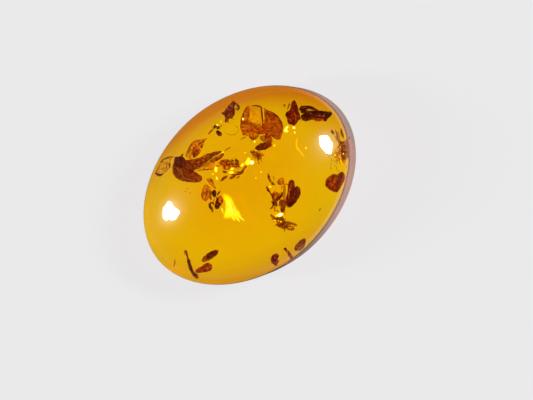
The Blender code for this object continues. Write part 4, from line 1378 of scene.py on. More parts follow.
@dataclass
class Left:
    """The dark flower bud with its lobe and stalk, a winged leaf and a pale bract."""

    bud_thick: float = 0.45
    body_thick: float = 0.4
    wing: float = 0.08
    bract: float = 0.06

    def bud(self) -> tuple[Form, ...]:
        """The bud: its dark head, the body and the curved outer blade, parted by pale slits."""
        head = blade(
            self.bud_thick, -0.05, 173.8, 163.0, 174.0, 159.0, 176.2, 156.8, 180.2, 156.2, 184.0, 157.6,
            185.8, 161.0, 184.6, 165.6, 182.0, 168.6, 178.0, 167.4, 174.8, 165.2, full=5.0, veins=3,
        )
        body = blade(
            self.body_thick, 0.4, 184.4, 160.2, 190.0, 161.0, 194.0, 164.6, 193.8, 170.0, 196.4, 173.4,
            199.6, 177.0, 194.0, 179.8, 188.6, 178.8, 184.6, 175.4, 181.6, 170.6, 182.8, 166.0, lift=-0.02,
            crumple=0.05, full=5.0, veins=9,
        )
        under = blade(
            0.12, 0.45, 174.6, 164.0, 180.0, 164.0, 186.0, 166.0, 189.0, 172.0, 191.0, 177.6, 186.0, 178.6,
            180.0, 176.6, 176.0, 173.0, lift=-0.14, veins=4,
        )
        return (
            head, body, under,
            Strand(
                (
                    174.0, 162.6, 173.6, 168.0, 174.6, 172.8, 177.6, 176.4, 182.4, 178.9, 188.0, 180.0,
                    195.0, 180.9, 200.6, 180.6,
                ),
                (0.09, 0.12, 0.15, 0.17, 0.15, 0.13, 0.11, 0.07),
                tones=(0.3, 0.35, 0.4), lifts=(0.04,),
            ),
            thread(0.15, 0.25, 176.6, 168.0, 179.0, 171.8, 182.0, 175.0, 186.6, 178.4),
            thread(
                0.05, 1.5, 175.2, 167.8, 178.6, 169.4, 181.2, 172.4, 183.0, 176.0, 187.0, 178.6, lift=0.27,
            ),
            thread(0.04, 0.8, 188.4, 163.4, 190.6, 166.8, 191.4, 170.4, lift=0.22),
            thread(0.08, 0.15, 180.4, 157.4, 182.0, 155.2, 183.0, 153.6),
        )

    def stalk(self) -> tuple[Form, ...]:
        """The stalk with its split arm, the thin film under it and the hair at its tip."""
        arm = blade(
            0.3, 0.46, 186.6, 160.4, 191.0, 159.4, 197.0, 158.3, 203.0, 156.4, 208.0, 153.9, 213.0, 152.2,
            218.0, 151.2, 222.0, 151.2, 219.4, 153.4, 214.6, 155.8, 210.4, 158.4, 206.0, 160.6, 203.6, 164.4,
            200.0, 167.8, 194.4, 170.2, 191.0, 167.0, 188.6, 163.0, crumple=0.05, full=5.0, veins=12,
            frays=3,
        )
        film = blade(
            0.03, 1.25, 200.0, 166.0, 204.4, 161.6, 209.0, 161.2, 214.4, 161.4, 214.8, 165.4, 214.0, 169.4,
            206.0, 170.4, 198.4, 171.0, lift=-0.06, ragged=0.05, veins=3,
        )
        lobe = blade(
            0.28, 0.46, 209.4, 160.6, 214.0, 158.0, 218.6, 155.2, 223.4, 153.2, 223.6, 155.6, 221.6, 158.2,
            218.6, 160.2, 214.4, 161.9, 210.4, 162.1, ragged=0.03, crumple=0.04, full=5.0, veins=5, frays=2,
        )
        return (
            arm, film, lobe,
            thread(0.03, 0.7, 203.4, 164.6, 207.0, 163.4, 214.0, 163.8),
            thread(0.03, 0.7, 202.0, 167.2, 207.0, 166.2, 213.4, 166.6),
            thread(0.035, 1.2, 210.4, 159.4, 214.4, 157.0, 217.6, 154.8, 219.8, 153.6, lift=0.2),
            thread(0.05, 0.1, 190.0, 163.0, 192.4, 166.0, 193.0, 169.0, lift=0.18),
            thread(0.05, 0.1, 195.4, 160.4, 196.6, 164.0, 196.0, 168.0, lift=0.18),
            thread(0.04, 0.15, 200.4, 159.0, 200.8, 162.4, 199.4, 166.0, lift=0.18),
            thread(0.04, 0.55, 196.0, 171.0, 201.0, 170.2, 206.0, 169.4, 213.2, 169.2),
            thread(0.045, 0.45, 224.6, 151.4, 227.4, 149.0, 230.6, 147.2),
        )

    def scraps(self) -> list[Scrap]:
        """The cluster's scraps."""
        wing = blade(
            self.wing, 0.85, 207.6, 138.3, 205.0, 141.2, 203.6, 145.0, 202.4, 148.6, 200.0, 152.8,
            196.4, 156.6, 191.0, 159.0, 187.4, 158.2, 185.4, 155.0, 186.8, 151.6, 189.0, 147.6, 191.8, 143.4,
            195.2, 140.8, 199.4, 140.2, 204.0, 139.4, crumple=0.04, full=8.0, veins=10, fibre=0.024,
        )
        patch = blade(
            0.08, 0.42, 192.6, 148.8, 196.0, 147.4, 199.0, 149.2, 199.4, 153.0, 196.6, 156.4, 193.4, 156.8,
            192.2, 153.0, lift=0.06, ragged=0.04, grain=0.3, veins=3,
        )
        bract = blade(
            self.bract, 1.1, 172.0, 156.9, 168.4, 157.6, 164.0, 159.4, 161.0, 162.4, 158.6, 166.6,
            156.4, 171.0, 155.8, 173.6, 159.4, 174.9, 163.0, 174.0, 166.6, 171.6, 169.4, 168.4, 170.8, 164.6,
            170.6, 160.8, full=8.0, veins=5, fibre=0.02,
        )
        lobe = Strand(
            (186.4, 173.6, 190.6, 174.6, 194.8, 176.2, 198.8, 178.2, 202.0, 180.2),
            (0.12, 0.22, 0.27, 0.26, 0.13),
            flat=0.9, tones=(0.4, 0.42), ridges=9, ridge=0.12, twist=0.1, lifts=(0.1, 0.02),
        )
        return [
            scrap("bud_head", HUSK, *self.bud()),
            scrap("seed_lobe", HUSK, lobe),
            scrap("flower_stalk", HUSK, *self.stalk()),
            scrap(
                "wing_leaf", LEAF, wing, patch,
                spot(0.0, 201.8, 145.6, 0.9, 1.5, thick=0.12, lift=0.08),
                thread(
                    0.05, 0.4, 207.4, 138.5, 201.0, 139.9, 195.4, 140.9, 191.6, 143.8, 188.6, 148.6,
                    186.0, 153.4,
                ),
                thread(0.06, 0.35, 187.0, 154.4, 188.8, 150.6, 190.0, 146.6, lift=0.04),
            ),
            scrap(
                "pale_bract", PALE, bract,
                thread(
                    0.05, 0.1, 175.0, 157.2, 170.0, 156.9, 165.0, 158.6, 161.0, 161.6, 158.8, 166.0,
                    lift=0.02,
                ),
                thread(0.05, 0.3, 158.8, 166.0, 156.8, 170.4, 155.2, 173.0, lift=0.02),
                thread(0.11, -0.1, 154.8, 172.6, 157.0, 174.2, 159.6, 175.0, 163.6, 173.9),
                thread(0.06, 0.2, 165.6, 162.0, 166.8, 165.4, 165.4, 169.6, lift=0.03),
                thread(0.07, 0.1, 169.0, 162.4, 170.0, 165.2, 169.4, 168.4, lift=0.03),
                thread(0.04, 0.3, 160.0, 163.4, 162.4, 161.4, 163.4, 164.0, lift=0.03),
                thread(0.04, 0.4, 161.4, 168.0, 163.4, 170.4, 165.6, 170.8, lift=0.03),
            ),
        ]


@dataclass
class Centre:
    """A lacy husk with its strips, a bract, and the orange, black and two-tone seeds."""

    lace: float = 0.16
    strip: float = 0.085
    seed_thick: float = 0.24

    def husk(self) -> tuple[Form, ...]:
        """The lacy husk: a sheet full of holes, the strands that edge and cross it, and a dash."""
        net = blade(
            self.lace, 0.55, 218.6, 162.4, 222.0, 160.2, 226.2, 159.4, 230.4, 159.8, 234.0, 158.8,
            237.0, 159.2, 238.6, 161.4, 238.4, 163.6, 240.4, 165.2, 238.4, 167.4, 234.4, 167.4, 231.2, 167.6,
            229.0, 169.6, 225.8, 170.0, 223.2, 167.8, 220.4, 165.4, ragged=0.05, crumple=0.06, grain=0.3,
            full=6.0, veins=10, frays=9, fibre=0.035,
        )
        return (
            net,
            thread(0.07, 0.3, 219.4, 162.2, 222.6, 160.4, 226.6, 159.8, 230.6, 160.4),
            thread(
                0.09, 0.25, 229.6, 161.0, 232.6, 159.8, 235.8, 159.4, 238.2, 161.2, 237.4, 163.4, lift=0.06,
            ),
            thread(0.08, 0.25, 222.4, 163.6, 224.6, 166.4, 226.6, 169.2, 229.0, 168.4, lift=0.04),
            thread(0.07, 0.3, 224.6, 162.4, 228.0, 164.4, 229.6, 167.4, lift=0.08),
            thread(0.07, 0.35, 231.0, 161.4, 233.2, 163.6, 232.0, 166.4, lift=0.06),
            thread(0.09, 0.3, 235.0, 162.4, 237.0, 164.8, 240.6, 165.0, 238.0, 167.2, lift=0.04),
            thread(0.06, 0.5, 215.2, 166.2, 218.4, 165.8, 221.4, 164.8),
            thread(0.09, 0.3, 221.4, 170.8, 224.2, 171.9, 227.6, 172.3),
        )

    def scraps(self) -> list[Scrap]:
        """The cluster's scraps."""
        orange = blade(
            self.seed_thick, 0.72, 204.5, 184.6, 206.8, 187.0, 207.8, 190.4, 208.2, 194.6, 208.4, 198.6,
            206.8, 200.6, 205.0, 201.4, 202.8, 199.4, 201.8, 195.6, 202.0, 191.6, 203.0, 187.8, full=5.0,
            veins=6,
        )
        flank = blade(
            0.12, 0.62, 207.0, 188.0, 209.6, 189.6, 211.9, 191.2, 212.0, 194.6, 210.6, 197.2, 208.6, 198.0,
            208.4, 192.6, lift=-0.04, ragged=0.03, veins=3,
        )
        bract = blade(
            0.08, 0.85, 206.2, 178.8, 209.4, 178.0, 212.0, 179.0, 213.6, 181.8, 214.2, 185.0, 216.2, 188.6,
            213.8, 187.8, 210.8, 185.6, 208.4, 182.6, veins=3,
        )
        black = blade(
            0.24, 0.06, 212.4, 190.8, 214.8, 189.9, 216.4, 192.8, 215.8, 196.2, 213.6, 196.9, 212.0, 194.0,
            full=4.0, rough=0.1,
        )
        base = blade(
            0.3, 0.1, 215.4, 203.4, 217.0, 201.6, 219.4, 202.2, 221.0, 203.2, 219.6, 207.0, 217.2, 209.3,
            215.2, 208.2, 214.7, 205.6, full=4.0, rough=0.1,
        )
        top = blade(
            0.2, 0.88, 217.6, 198.0, 219.6, 196.1, 222.2, 197.0, 222.9, 199.8, 221.8, 203.0, 219.4, 204.6,
            217.6, 202.6, lift=-0.02, full=5.0, veins=3,
        )
        return [
            scrap("lacy_husk", LACE, *self.husk()),
            scrap(
                "husk_strip", HUSK,
                Strand(
                    (
                        246.9, 164.6, 246.2, 166.4, 243.8, 168.8, 241.8, 172.0, 239.4, 173.9, 236.2, 174.4,
                        234.0, 176.4, 231.4, 177.8, 229.2, 178.7,
                    ),
                    (0.05, 0.07, 0.07, 0.1, 0.08, 0.06, 0.1, 0.09, 0.04),
                    tones=(0.25, 0.4, 0.3, 0.35, 0.45),
                ),
                thread(self.strip, 0.7, 229.8, 173.6, 233.0, 174.6, 236.4, 174.8),
                thread(0.06, 0.6, 234.8, 171.4, 237.6, 172.4, 240.6, 171.2),
                thread(0.07, 0.5, 236.2, 178.4, 238.0, 177.4, 239.6, 175.8),
            ),
            scrap(
                "husk_sliver", HUSK,
                thread(0.1, 0.35, 220.2, 181.4, 223.0, 179.0, 225.4, 177.0, 227.4, 175.5),
            ),
            scrap(
                "brown_bract", HUSK, bract,
                thread(0.05, 0.45, 205.0, 183.8, 208.0, 186.6, 211.4, 189.0),
            ),
            scrap(
                "orange_seed", LEAF, orange, flank,
                thread(0.07, 0.1, 203.4, 188.4, 202.2, 193.4, 202.6, 197.6, 204.2, 200.6, lift=0.06),
                thread(0.08, 0.15, 210.2, 196.4, 210.9, 198.4, 210.6, 200.2, lift=0.04),
            ),
            scrap(
                "black_seed", BARK, black,
                thread(0.05, 0.35, 215.6, 196.2, 216.6, 198.0, 217.6, 199.8, 217.4, 202.0),
                thread(0.03, 0.5, 214.0, 197.0, 214.2, 199.6, 213.0, 202.4),
            ),
            scrap(
                "two_tone_seed", TWO_TONE, base, top,
                thread(0.07, 0.1, 217.8, 197.4, 217.0, 200.4, 215.6, 204.0, lift=0.06),
                thread(0.05, 0.2, 222.8, 198.4, 222.2, 202.0, 220.4, 205.6, lift=0.06),
                thread(0.07, 0.3, 220.8, 190.6, 218.8, 192.8, 217.0, 195.6),
                thread(0.04, 0.4, 215.9, 191.8, 216.0, 195.0),
            ),
            scrap(
                "husk_shard", BARK,
                thread(0.1, 0.15, 211.4, 201.8, 209.9, 204.2, 210.0, 207.2, 211.4, 209.4),
                thread(0.08, 0.2, 211.4, 202.0, 213.2, 203.2, 213.9, 205.2),
                thread(0.08, 0.3, 210.8, 205.8, 211.8, 208.0, 212.3, 210.6, 212.3, 212.9),
            ),
        ]


@dataclass
class RightOfCentre:
    """The dark pod, the forked splinter, pale lobes, a crumb and the root tuft."""

    pod_thick: float = 0.4
    splinter: float = 0.09
    root: float = 0.15

    def pod(self) -> tuple[Form, ...]:
        """The pod: two dark valves, the pale rib between them and a brown flap."""
        left = blade(
            self.pod_thick, 0.25, 289.4, 181.0, 291.6, 179.7, 294.0, 181.4, 294.8, 185.6, 294.6, 190.6,
            293.6, 196.6, 292.0, 202.0, 289.6, 206.0, 287.4, 205.4, 286.6, 201.6, 287.2, 195.6, 288.0, 190.0,
            288.4, 184.6, full=5.0, veins=5,
        )
        right = blade(
            0.34, 0.25, 295.2, 187.6, 297.6, 185.9, 299.8, 187.8, 300.9, 191.4, 300.2, 195.0, 298.0, 199.6,
            295.0, 203.6, 292.2, 206.4, 289.6, 206.8, 290.4, 203.6, 292.6, 198.0, 294.2, 192.6, lift=0.05,
            full=5.0, veins=5,
        )
        flap = blade(
            0.1, 0.75, 285.2, 196.6, 287.0, 195.4, 287.6, 200.0, 289.0, 204.6, 290.4, 206.8, 287.0, 206.8,
            285.0, 204.0, lift=-0.05, ragged=0.04,
        )
        return (
            left, right, flap,
            thread(0.045, 1.0, 291.9, 185.2, 290.6, 189.6, 289.8, 194.8, 289.2, 199.6, lift=0.22),
            thread(0.03, 0.7, 296.4, 189.0, 295.4, 194.0, 293.2, 199.6, lift=0.24),
        )

    @staticmethod
    def film() -> Blade:
        """The torn film between the splinter's arms."""
        return blade(
            0.05, 0.7, 271.8, 193.2, 275.0, 191.8, 279.2, 192.6, 281.4, 195.0, 279.8, 197.4, 277.0, 199.0,
            274.2, 199.4, 272.8, 196.4, lift=-0.04, ragged=0.06, grain=0.25, veins=6, frays=5,
        )

    def fork(self) -> tuple[Form, ...]:
        """The forked splinter."""
        return (
            Strand(
                (266.4, 185.8, 268.0, 190.0, 270.2, 192.8, 272.2, 195.8, 273.4, 199.4, 274.4, 202.6),
                (0.05, 0.09, 0.06, 0.07, self.splinter, 0.12),
                tones=(0.45, 0.35, 0.3),
            ),
            Strand(
                (
                    281.8, 192.0, 281.6, 195.4, 279.4, 198.0, 276.8, 200.0, 274.8, 202.8, 272.8, 206.4,
                    270.2, 209.2,
                ),
                (0.05, 0.09, 0.11, 0.1, 0.12, 0.08, 0.04),
                tones=(0.45, 0.2, 0.3, 0.3, 0.45),
            ),
            thread(0.08, 0.3, 270.8, 201.4, 273.0, 203.2, 275.2, 204.8, 277.2, 207.0),
            thread(0.06, 0.3, 275.6, 201.0, 276.8, 204.0, 276.2, 207.2),
            thread(0.05, 0.5, 274.2, 206.4, 274.8, 208.4, 274.0, 210.2),
            thread(0.04, 0.5, 276.4, 193.4, 277.8, 195.8, 276.6, 198.4, lift=0.04),
        )

    def crumb(self) -> tuple[Form, ...]:
        """The crumb and the brown stem that it hangs on."""
        stem = blade(
            0.07, 1.0, 282.6, 185.4, 285.4, 185.4, 285.8, 190.0, 285.2, 196.0, 285.4, 201.0, 283.0, 201.4,
            282.4, 195.0, 282.8, 190.0, lift=-0.04, ragged=0.04, grain=0.4, veins=4,
        )
        lump = blade(
            0.14, 0.55, 279.2, 203.2, 280.4, 200.9, 283.2, 200.2, 286.0, 201.6, 286.2, 205.0, 284.8, 207.6,
            285.2, 211.2, 283.4, 213.4, 281.2, 212.0, 280.6, 208.0, ragged=0.06, grain=0.3, veins=7, frays=5,
        )
        return (
            stem, lump,
            thread(
                0.08, 0.35, 279.4, 204.6, 280.2, 201.6, 283.0, 200.8, 285.6, 202.4, 285.2, 205.6, lift=0.05,
            ),
            thread(0.1, 0.35, 282.4, 206.6, 282.0, 209.6, 282.8, 212.8, lift=0.04),
            thread(0.06, 0.8, 273.6, 211.0, 276.6, 210.6, 279.6, 211.8),
        )

    def tuft(self) -> tuple[Form, ...]:
        """The root tuft: a knotted mass and its prongs."""
        mass = blade(
            0.22, 0.62, 275.6, 219.6, 278.4, 217.6, 282.0, 217.8, 284.2, 220.4, 286.4, 223.0, 290.4, 224.2,
            289.4, 226.8, 285.4, 228.4, 280.4, 227.0, 276.6, 224.6, 276.8, 222.0, ragged=0.06, crumple=0.06,
            grain=0.35, full=5.0, veins=12, frays=7,
        )
        return (
            mass,
            thread(0.11, 0.4, 270.6, 214.2, 272.2, 216.6, 275.0, 218.6, 278.6, 219.6),
            thread(0.11, 0.35, 276.6, 217.4, 280.6, 217.8, 283.4, 219.2, 284.2, 222.6, lift=0.05),
            thread(self.root, 0.5, 276.4, 223.6, 280.4, 226.0, 284.6, 226.8, 288.6, 226.2, lift=0.05),
            Strand(
                (283.0, 223.0, 286.6, 222.6, 290.4, 223.0, 294.4, 224.2, 297.6, 226.0),
                (0.12, 0.1, 0.09, 0.09, 0.04),
                tones=(0.3, 0.5, 0.6),
            ),
            thread(0.1, 0.3, 285.6, 227.4, 289.2, 229.2, 292.4, 229.2, 294.8, 227.8),
            thread(0.06, 0.5, 288.6, 226.2, 291.8, 227.0, 295.2, 226.2),
            thread(0.07, 0.5, 284.6, 227.4, 284.8, 229.6, 284.6, 232.0),
            thread(0.05, 0.8, 270.6, 219.0, 273.0, 220.4, 274.6, 222.6),
        )

    def scraps(self) -> list[Scrap]:
        """The cluster's scraps."""
        lobes = blade(
            0.08, 0.45, 277.4, 181.4, 279.2, 178.5, 282.4, 177.9, 284.4, 180.6, 283.6, 184.0, 280.8, 185.2,
            278.2, 184.2, ragged=0.03, full=6.0,
        )
        return [
            scrap("red_pod", SEED, *self.pod()),
            scrap("forked_splinter", BARK, *self.fork()),
            Scrap("torn_film", LEAF, (self.film(),)),
            scrap(
                "thin_splinter", BARK,
                thread(0.085, 0.3, 267.9, 173.2, 268.8, 176.6, 269.8, 180.2, 271.4, 182.8),
                thread(0.1, 0.75, 270.6, 181.6, 272.8, 183.6, 275.2, 184.6),
                thread(0.035, 1.0, 273.0, 175.4, 274.0, 178.0, 273.8, 180.6),
            ),
            scrap(
                "pale_lobes", LOBES, lobes,
                thread(0.06, 0.4, 283.8, 184.6, 286.6, 184.2, 289.0, 184.9),
                thread(0.05, 0.5, 281.0, 185.0, 281.6, 188.4, 281.0, 191.6),
            ),
            scrap("brown_crumb", HUSK, *self.crumb()),
            scrap("root_tuft", HUSK, *self.tuft()),
        ]


@dataclass
class LowerRim:
    """The knobby twig, the pellets and the seeds along the lower rim."""

    pellet_radius: float = 0.25
    rod: float = 0.13

    def scraps(self) -> list[Scrap]:
        """The cluster's scraps."""
        twig = Strand(
            (
                185.9, 250.2, 185.8, 252.6, 187.2, 255.4, 188.0, 258.4, 188.8, 261.6, 189.4, 264.6,
                190.4, 267.6, 191.8, 270.6, 193.4, 273.2, 195.4, 275.8, 198.2, 278.2,
            ),
            (0.1, 0.14, 0.08, 0.08, 0.15, 0.13, 0.15, 0.13, 0.16, 0.18, 0.12),
            tones=(0.3, 0.35, 0.25, 0.3, 0.35), bands=6, band=0.1, rough=0.2,
        )
        red = Strand(
            (195.2, 271.0, 198.6, 270.8, 202.6, 269.2, 206.8, 267.6, 210.0, 266.0, 212.0, 265.4),
            (0.1, 0.2, 0.28, 0.33, 0.27, 0.12),
            flat=0.8, tones=(0.45, 0.6, 0.55), ridges=7, ridge=0.03,
        )
        curved = blade(
            0.24, 0.72, 273.0, 255.0, 275.6, 253.2, 278.0, 254.6, 278.4, 257.4, 277.4, 259.2, 279.0, 260.8,
            278.0, 263.4, 275.6, 265.4, 273.4, 264.6, 271.4, 262.0, 270.9, 259.0, 271.8, 256.4, full=5.0,
            veins=6,
        )
        return [
            scrap("twig", BARK, twig, thread(0.04, 0.9, 194.4, 271.4, 197.0, 274.0, 198.8, 277.6)),
            scrap(
                "bark_sliver", HUSK,
                thread(0.06, 0.55, 174.2, 258.6, 175.0, 261.8, 174.4, 264.8, 174.0, 267.4),
            ),
            scrap(
                "dark_pellet", BARK,
                pellet(
                    self.pellet_radius, 0.3, 201.9, 261.4, 218.3, 250.3, tones=(0.45, 0.4, 0.45), bands=8,
                    band=0.03,
                ),
            ),
            scrap("red_pellet", SEED, red),
            scrap(
                "curved_seed", SEED, curved,
                thread(0.08, 0.3, 276.4, 253.8, 278.2, 255.6, 277.9, 258.4, lift=0.08),
                thread(0.05, 0.4, 272.2, 256.0, 271.4, 259.4, 272.4, 263.0, lift=0.08),
            ),
            scrap(
                "knobbed_rod", HUSK,
                Strand(
                    (286.4, 250.0, 288.2, 252.6, 290.2, 255.6, 292.0, 258.8),
                    (0.11, 0.12, self.rod, 0.12),
                    tones=(0.35, 0.42, 0.45), ridges=6,
                ),
                spot(0.25, 285.2, 249.1, 1.7, 1.6, thick=0.26, full=2.0),
            ),
            scrap(
                "oval_pellet", HUSK,
                pellet(
                    0.27, 0.4, 295.2, 250.6, 305.4, 238.6, tones=(0.35, 0.45, 0.4), ridge=0.09, twist=0.1,
                ),
            ),
        ]


@dataclass
class Cracks:
    """Gas-filled cracks that glow as painted glints, one healed crack that glows the same way, small bubbles
    and specks.
    """

    thin: float = 0.04
    above: float = 0.22

    def glints(self) -> tuple[Form, ...]:
        """The bright painted glints."""
        drawn = (
            (
                288.6, 124.8, 288.9, 127.2, 287.2, 129.0, 289.0, 130.6, 288.4, 132.0, 285.2, 131.8,
                284.4, 129.6, 286.4, 126.8,
            ),
            (293.0, 127.6, 294.8, 126.0, 296.2, 127.4, 295.4, 128.9),
            (294.9, 130.4, 296.0, 131.2, 295.9, 133.8, 295.0, 132.6),
            (214.9, 167.2, 216.6, 166.0, 217.8, 168.6, 217.4, 171.6, 216.0, 172.2, 214.9, 170.2),
            (216.1, 176.8, 217.4, 176.6, 218.1, 178.8, 217.4, 180.0, 216.4, 178.8),
            (230.6, 169.8, 232.2, 167.8, 234.6, 167.4, 233.8, 169.0, 232.0, 169.9),
            (228.8, 172.2, 231.2, 171.2, 233.9, 171.6, 233.6, 173.6, 230.8, 173.4),
            (240.4, 165.6, 242.2, 163.6, 244.4, 163.0, 243.8, 165.2, 241.8, 166.4),
            (
                245.2, 162.6, 247.4, 159.8, 248.8, 157.0, 250.8, 158.6, 251.2, 162.2, 249.4, 165.0,
                246.0, 165.0,
            ),
            (
                275.3, 216.2, 278.0, 214.6, 280.6, 213.2, 283.6, 212.8, 284.3, 214.6, 282.4, 216.8,
                278.6, 217.0,
            ),
        )
        spots = (
            (243.3, 118.4, 1.1, 1.6), (255.3, 141.2, 0.8, 1.2), (223.2, 151.8, 0.9, 1.0),
            (217.5, 124.4, 1.1, 1.1),
        )
        return (
            *(Blade(rim, self.thin, lift=self.above) for rim in drawn),
            *(spot(0.5, *place, thick=self.thin, lift=self.above) for place in spots),
        )

    def soft_glints(self) -> tuple[Form, ...]:
        """The fainter painted glints and the pale dots, which glow as painted highlights."""
        spots = (
            (275.2, 145.2, 1.1, 1.0), (307.0, 148.1, 0.9, 1.1), (213.2, 174.0, 0.8, 1.1),
            (279.4, 221.2, 0.6, 0.7), (281.9, 222.0, 0.9, 0.9), (344.4, 153.8, 0.7, 0.7),
            (336.2, 155.2, 0.8, 0.8), (341.0, 147.0, 0.6, 0.6), (221.2, 120.9, 0.8, 1.1),
            (261.9, 172.0, 0.7, 1.2), (245.7, 152.5, 1.3, 0.7), (275.4, 220.6, 1.6, 0.6),
            (270.9, 186.8, 1.8, 1.0), (256.4, 178.0, 0.7, 0.9),
        )
        return tuple(spot(0.5, *place, thick=self.thin, lift=self.above) for place in spots)

    def fan(self) -> tuple[Form, ...]:
        """The fan: a flat drop that glows as a painted glint, and the streaks that it frays into."""
        drop = Blade(
            (
                222.4, 192.2, 226.4, 193.4, 230.4, 196.4, 233.0, 200.4, 235.2, 204.8, 238.0, 209.2,
                240.2, 213.2, 242.0, 218.0, 238.6, 218.8, 235.0, 221.0, 231.4, 218.8, 227.6, 219.0,
                223.4, 218.0, 223.8, 214.0, 225.2, 209.6, 225.4, 204.6, 224.2, 199.6, 222.6, 195.8,
            ),
            self.thin,
            full=8.0, ragged=0.03, grain=0.3,
        )
        fine = {"flat": 0.2, "ridge": 0.0, "rough": 0.05}
        return (
            drop,
            thread(0.08, 0.5, 233.4, 207.0, 237.4, 213.6, 241.4, 218.4, 245.4, 221.6, **fine),
            thread(0.08, 0.5, 231.0, 207.0, 234.6, 214.6, 238.0, 219.6, 240.6, 222.2, **fine),
            thread(0.07, 0.5, 228.4, 208.0, 230.8, 214.4, 233.4, 219.0, 234.8, 221.2, **fine),
            thread(0.06, 0.5, 226.8, 208.0, 226.4, 213.0, 223.6, 218.4, **fine),
            thread(0.05, 0.5, 221.6, 207.6, 222.6, 211.0, 223.6, 214.4, **fine),
        )

    def scraps(self) -> list[Scrap]:
        """All the cracks, bubbles and specks."""
        bubbles = (
            (257.7, 182.2), (245.9, 183.2), (257.7, 193.4), (264.7, 193.4), (255.2, 199.4), (262.8, 181.2),
            (260.9, 188.0),
        )
        specks = (
            (319.6, 209.9), (320.3, 208.9), (272.1, 201.6), (187.4, 188.6), (185.2, 191.4), (190.0, 192.6),
        )
        round_dot = {"thick": 0.07, "full": 2.0}
        healed = thread(
            0.05, 0.5, 298.2, 136.8, 296.6, 141.6, 296.4, 145.8, 298.6, 149.8, 301.8, 153.4, 305.4, 157.8,
            flat=0.3,
        )
        return [
            Scrap("bright_glints", GLINT, self.glints()),
            Scrap("soft_glints", SOFT_GLINT, self.soft_glints()),
            Scrap(
                "white_glint", WHITE_GLINT,
                (
                    spot(0.5, 252.8, 162.2, 2.3, 2.2, thick=self.thin, lift=0.3),
                    spot(0.5, 281.4, 214.7, 2.2, 1.2, thick=self.thin, lift=0.3),
                ),
            ),
            Scrap("fan_crack_painted_glint", FAN_GLINT, self.fan()),
            Scrap("healed_crack_painted_glint", LINE_GLINT, (healed,)),
            Scrap(
                "pale_bubbles", PALE,
                tuple(spot(1.2, *place, 0.6, 0.6, **round_dot) for place in bubbles),
            ),
            Scrap(
                "dark_specks", HUSK,
                tuple(spot(0.5, *place, 0.6, 0.6, **round_dot) for place in specks),
            ),
        ]


CLUSTERS = (UpperLeft, UpperMiddle, UpperRight, Left, Centre, RightOfCentre, LowerRim, Cracks)


@dataclass
class Cabochon:
    """The clear stone itself."""

    stone: Stone

    def build(self, workshop: Workshop) -> None:
        """Makes the stone, which stands for the two halves of the frame."""
        finish = workshop.material(AmberFinish("clear_amber", self.stone))
        piece = self.stone.skin().make("amber_stone", finish, sharp=180.0)
        workshop.set_in(piece, ["amber_top", "amber_back"])


# The studio


@dataclass(frozen=True)
class Glare:
    """How a light mirrors in the dome, on the picture.

    Attributes:
        place: Its middle.
        size: Its width and height.
        turn: How far it is turned anticlockwise, in degrees.
    """

    place: tuple[float, float]
    size: tuple[float, float]
    turn: float = 0.0


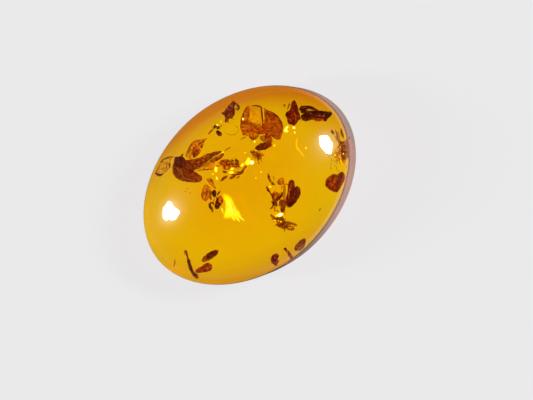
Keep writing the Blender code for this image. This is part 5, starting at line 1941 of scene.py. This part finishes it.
@dataclass
class Studio:
    """A plain pale floor, soft light and the camera at the picture's angle.

    Attributes:
        sight: The line of sight.
        glares: How each light mirrors in the dome.
        lamp_distance: How far each light stands from the stone.
        lamp_glow: The lights' radiance.
        floor_half: Half the floor's side.
        floor_drop: How far the floor lies under the stone.
        sky_strength: The strength of the world's light.
        sky_levels: The world's light at heights from the horizon, 0, to overhead, 1.
    """

    sight: Sight
    glares: tuple[Glare, ...] = (
        Glare((167.8, 211.0), (9.5, 16.5)),
        Glare((173.6, 214.0), (10.5, 10.5)),
        Glare((326.3, 143.4), (20.0, 11.0), -55.0),
    )
    lamp_distance: float = 400.0
    lamp_glow: float = 130.0
    floor_half: float = 1200.0
    floor_drop: float = 0.02
    sky_strength: float = 0.3
    sky_levels: tuple[tuple[float, float], ...] = (
        (0.0, 0.9), (0.06, 0.5), (0.15, 0.25), (0.3, 0.12), (0.5, 0.06), (1.0, 0.04),
    )

    def camera(self) -> None:
        """The camera, along the line of sight, with the picture's frame round the stone."""
        right, up, eye = self.sight.axes()
        place = self.sight.eye_point() * MM
        data = bpy.data.cameras.new("camera")
        data.sensor_width = 36.0
        data.lens = data.sensor_width * self.sight.distance / PICTURE_SPAN
        data.clip_start = 0.01
        camera = placed("camera", data)
        turned = Matrix((right, up, eye)).transposed().to_4x4()
        camera.matrix_world = Matrix.Translation(Vector(place)) @ turned
        bpy.context.scene.camera = camera

    def lamp(self, name: str, glare: Glare) -> None:
        """A light, placed, turned and sized so that the dome mirrors it as its glare says."""
        middle = np.array(glare.place)
        turn = math.radians(glare.turn)
        half = np.array([math.cos(turn), -math.sin(turn)]) * glare.size[0] / 2
        rise = np.array([-math.sin(turn), -math.cos(turn)]) * glare.size[1] / 2
        places = np.stack([middle, middle - half, middle + half, middle - rise, middle + rise])
        surface, ways = self.sight.mirrored(places)
        way = ways[0]
        across = (ways[2] - ways[1]) * self.lamp_distance * MM
        above = (ways[4] - ways[3]) * self.lamp_distance * MM
        data = bpy.data.lights.new(name, "AREA")
        data.shape = "ELLIPSE"
        data.size = float(np.linalg.norm(across))
        data.size_y = float(np.linalg.norm(above))
        data.energy = self.lamp_glow * math.pi * data.size * data.size_y
        lamp = placed(name, data)
        x_axis = Vector(across).normalized()
        z_axis = Vector(way).normalized()
        y_axis = z_axis.cross(x_axis).normalized()
        turned = Matrix((y_axis.cross(z_axis), y_axis, z_axis)).transposed().to_4x4()
        lamp.matrix_world = Matrix.Translation(Vector((surface[0] + way * self.lamp_distance) * MM)) @ turned

    def floor(self) -> None:
        """The floor, a hair under the stone."""
        half = self.floor_half * MM
        level = -self.floor_drop * MM
        mesh = bpy.data.meshes.new("floor")
        corners = [(-half, -half, level), (half, -half, level), (half, half, level), (-half, half, level)]
        mesh.from_pydata(corners, [], [(0, 1, 2, 3)])
        mesh.materials.append(FloorFinish("pale_floor").make())
        floor = placed("floor", mesh)

    def sky(self) -> None:
        """Soft light from all round, bright at the horizon and dim overhead."""
        world = bpy.data.worlds.new("studio")
        world.use_nodes = True
        graph = Graph(world.node_tree)
        height = graph.read("SeparateXYZ", 2, {0: graph.read("TexCoord", "Generated", {})})
        stops = tuple((place, (level, level, level)) for place, level in self.sky_levels)
        light = graph.ramp(height, stops)
        graph.feed(graph.tree.nodes["Background"], {0: light, 1: self.sky_strength})
        bpy.context.scene.world = world

    def build(self) -> None:
        """Sets up the camera, the light and the floor."""
        self.camera()
        for number, glare in enumerate(self.glares):
            self.lamp(f"lamp_{number}", glare)
        self.floor()
        self.sky()
        bpy.context.scene.view_settings.view_transform = "Standard"


def main() -> None:
    """Builds the stone, its debris and the studio, in order."""
    logging.basicConfig(level=logging.INFO, format="%(name)s: %(message)s")
    stone = Stone()
    sight = Sight(stone)
    Studio(sight).build()
    workshop = Workshop(sight)
    Cabochon(stone).build(workshop)
    for cluster in CLUSTERS:
        log.info("%s", cluster.__name__)
        for item in cluster().scraps():
            workshop.build(item)


if __name__ == "__main__":
    main()
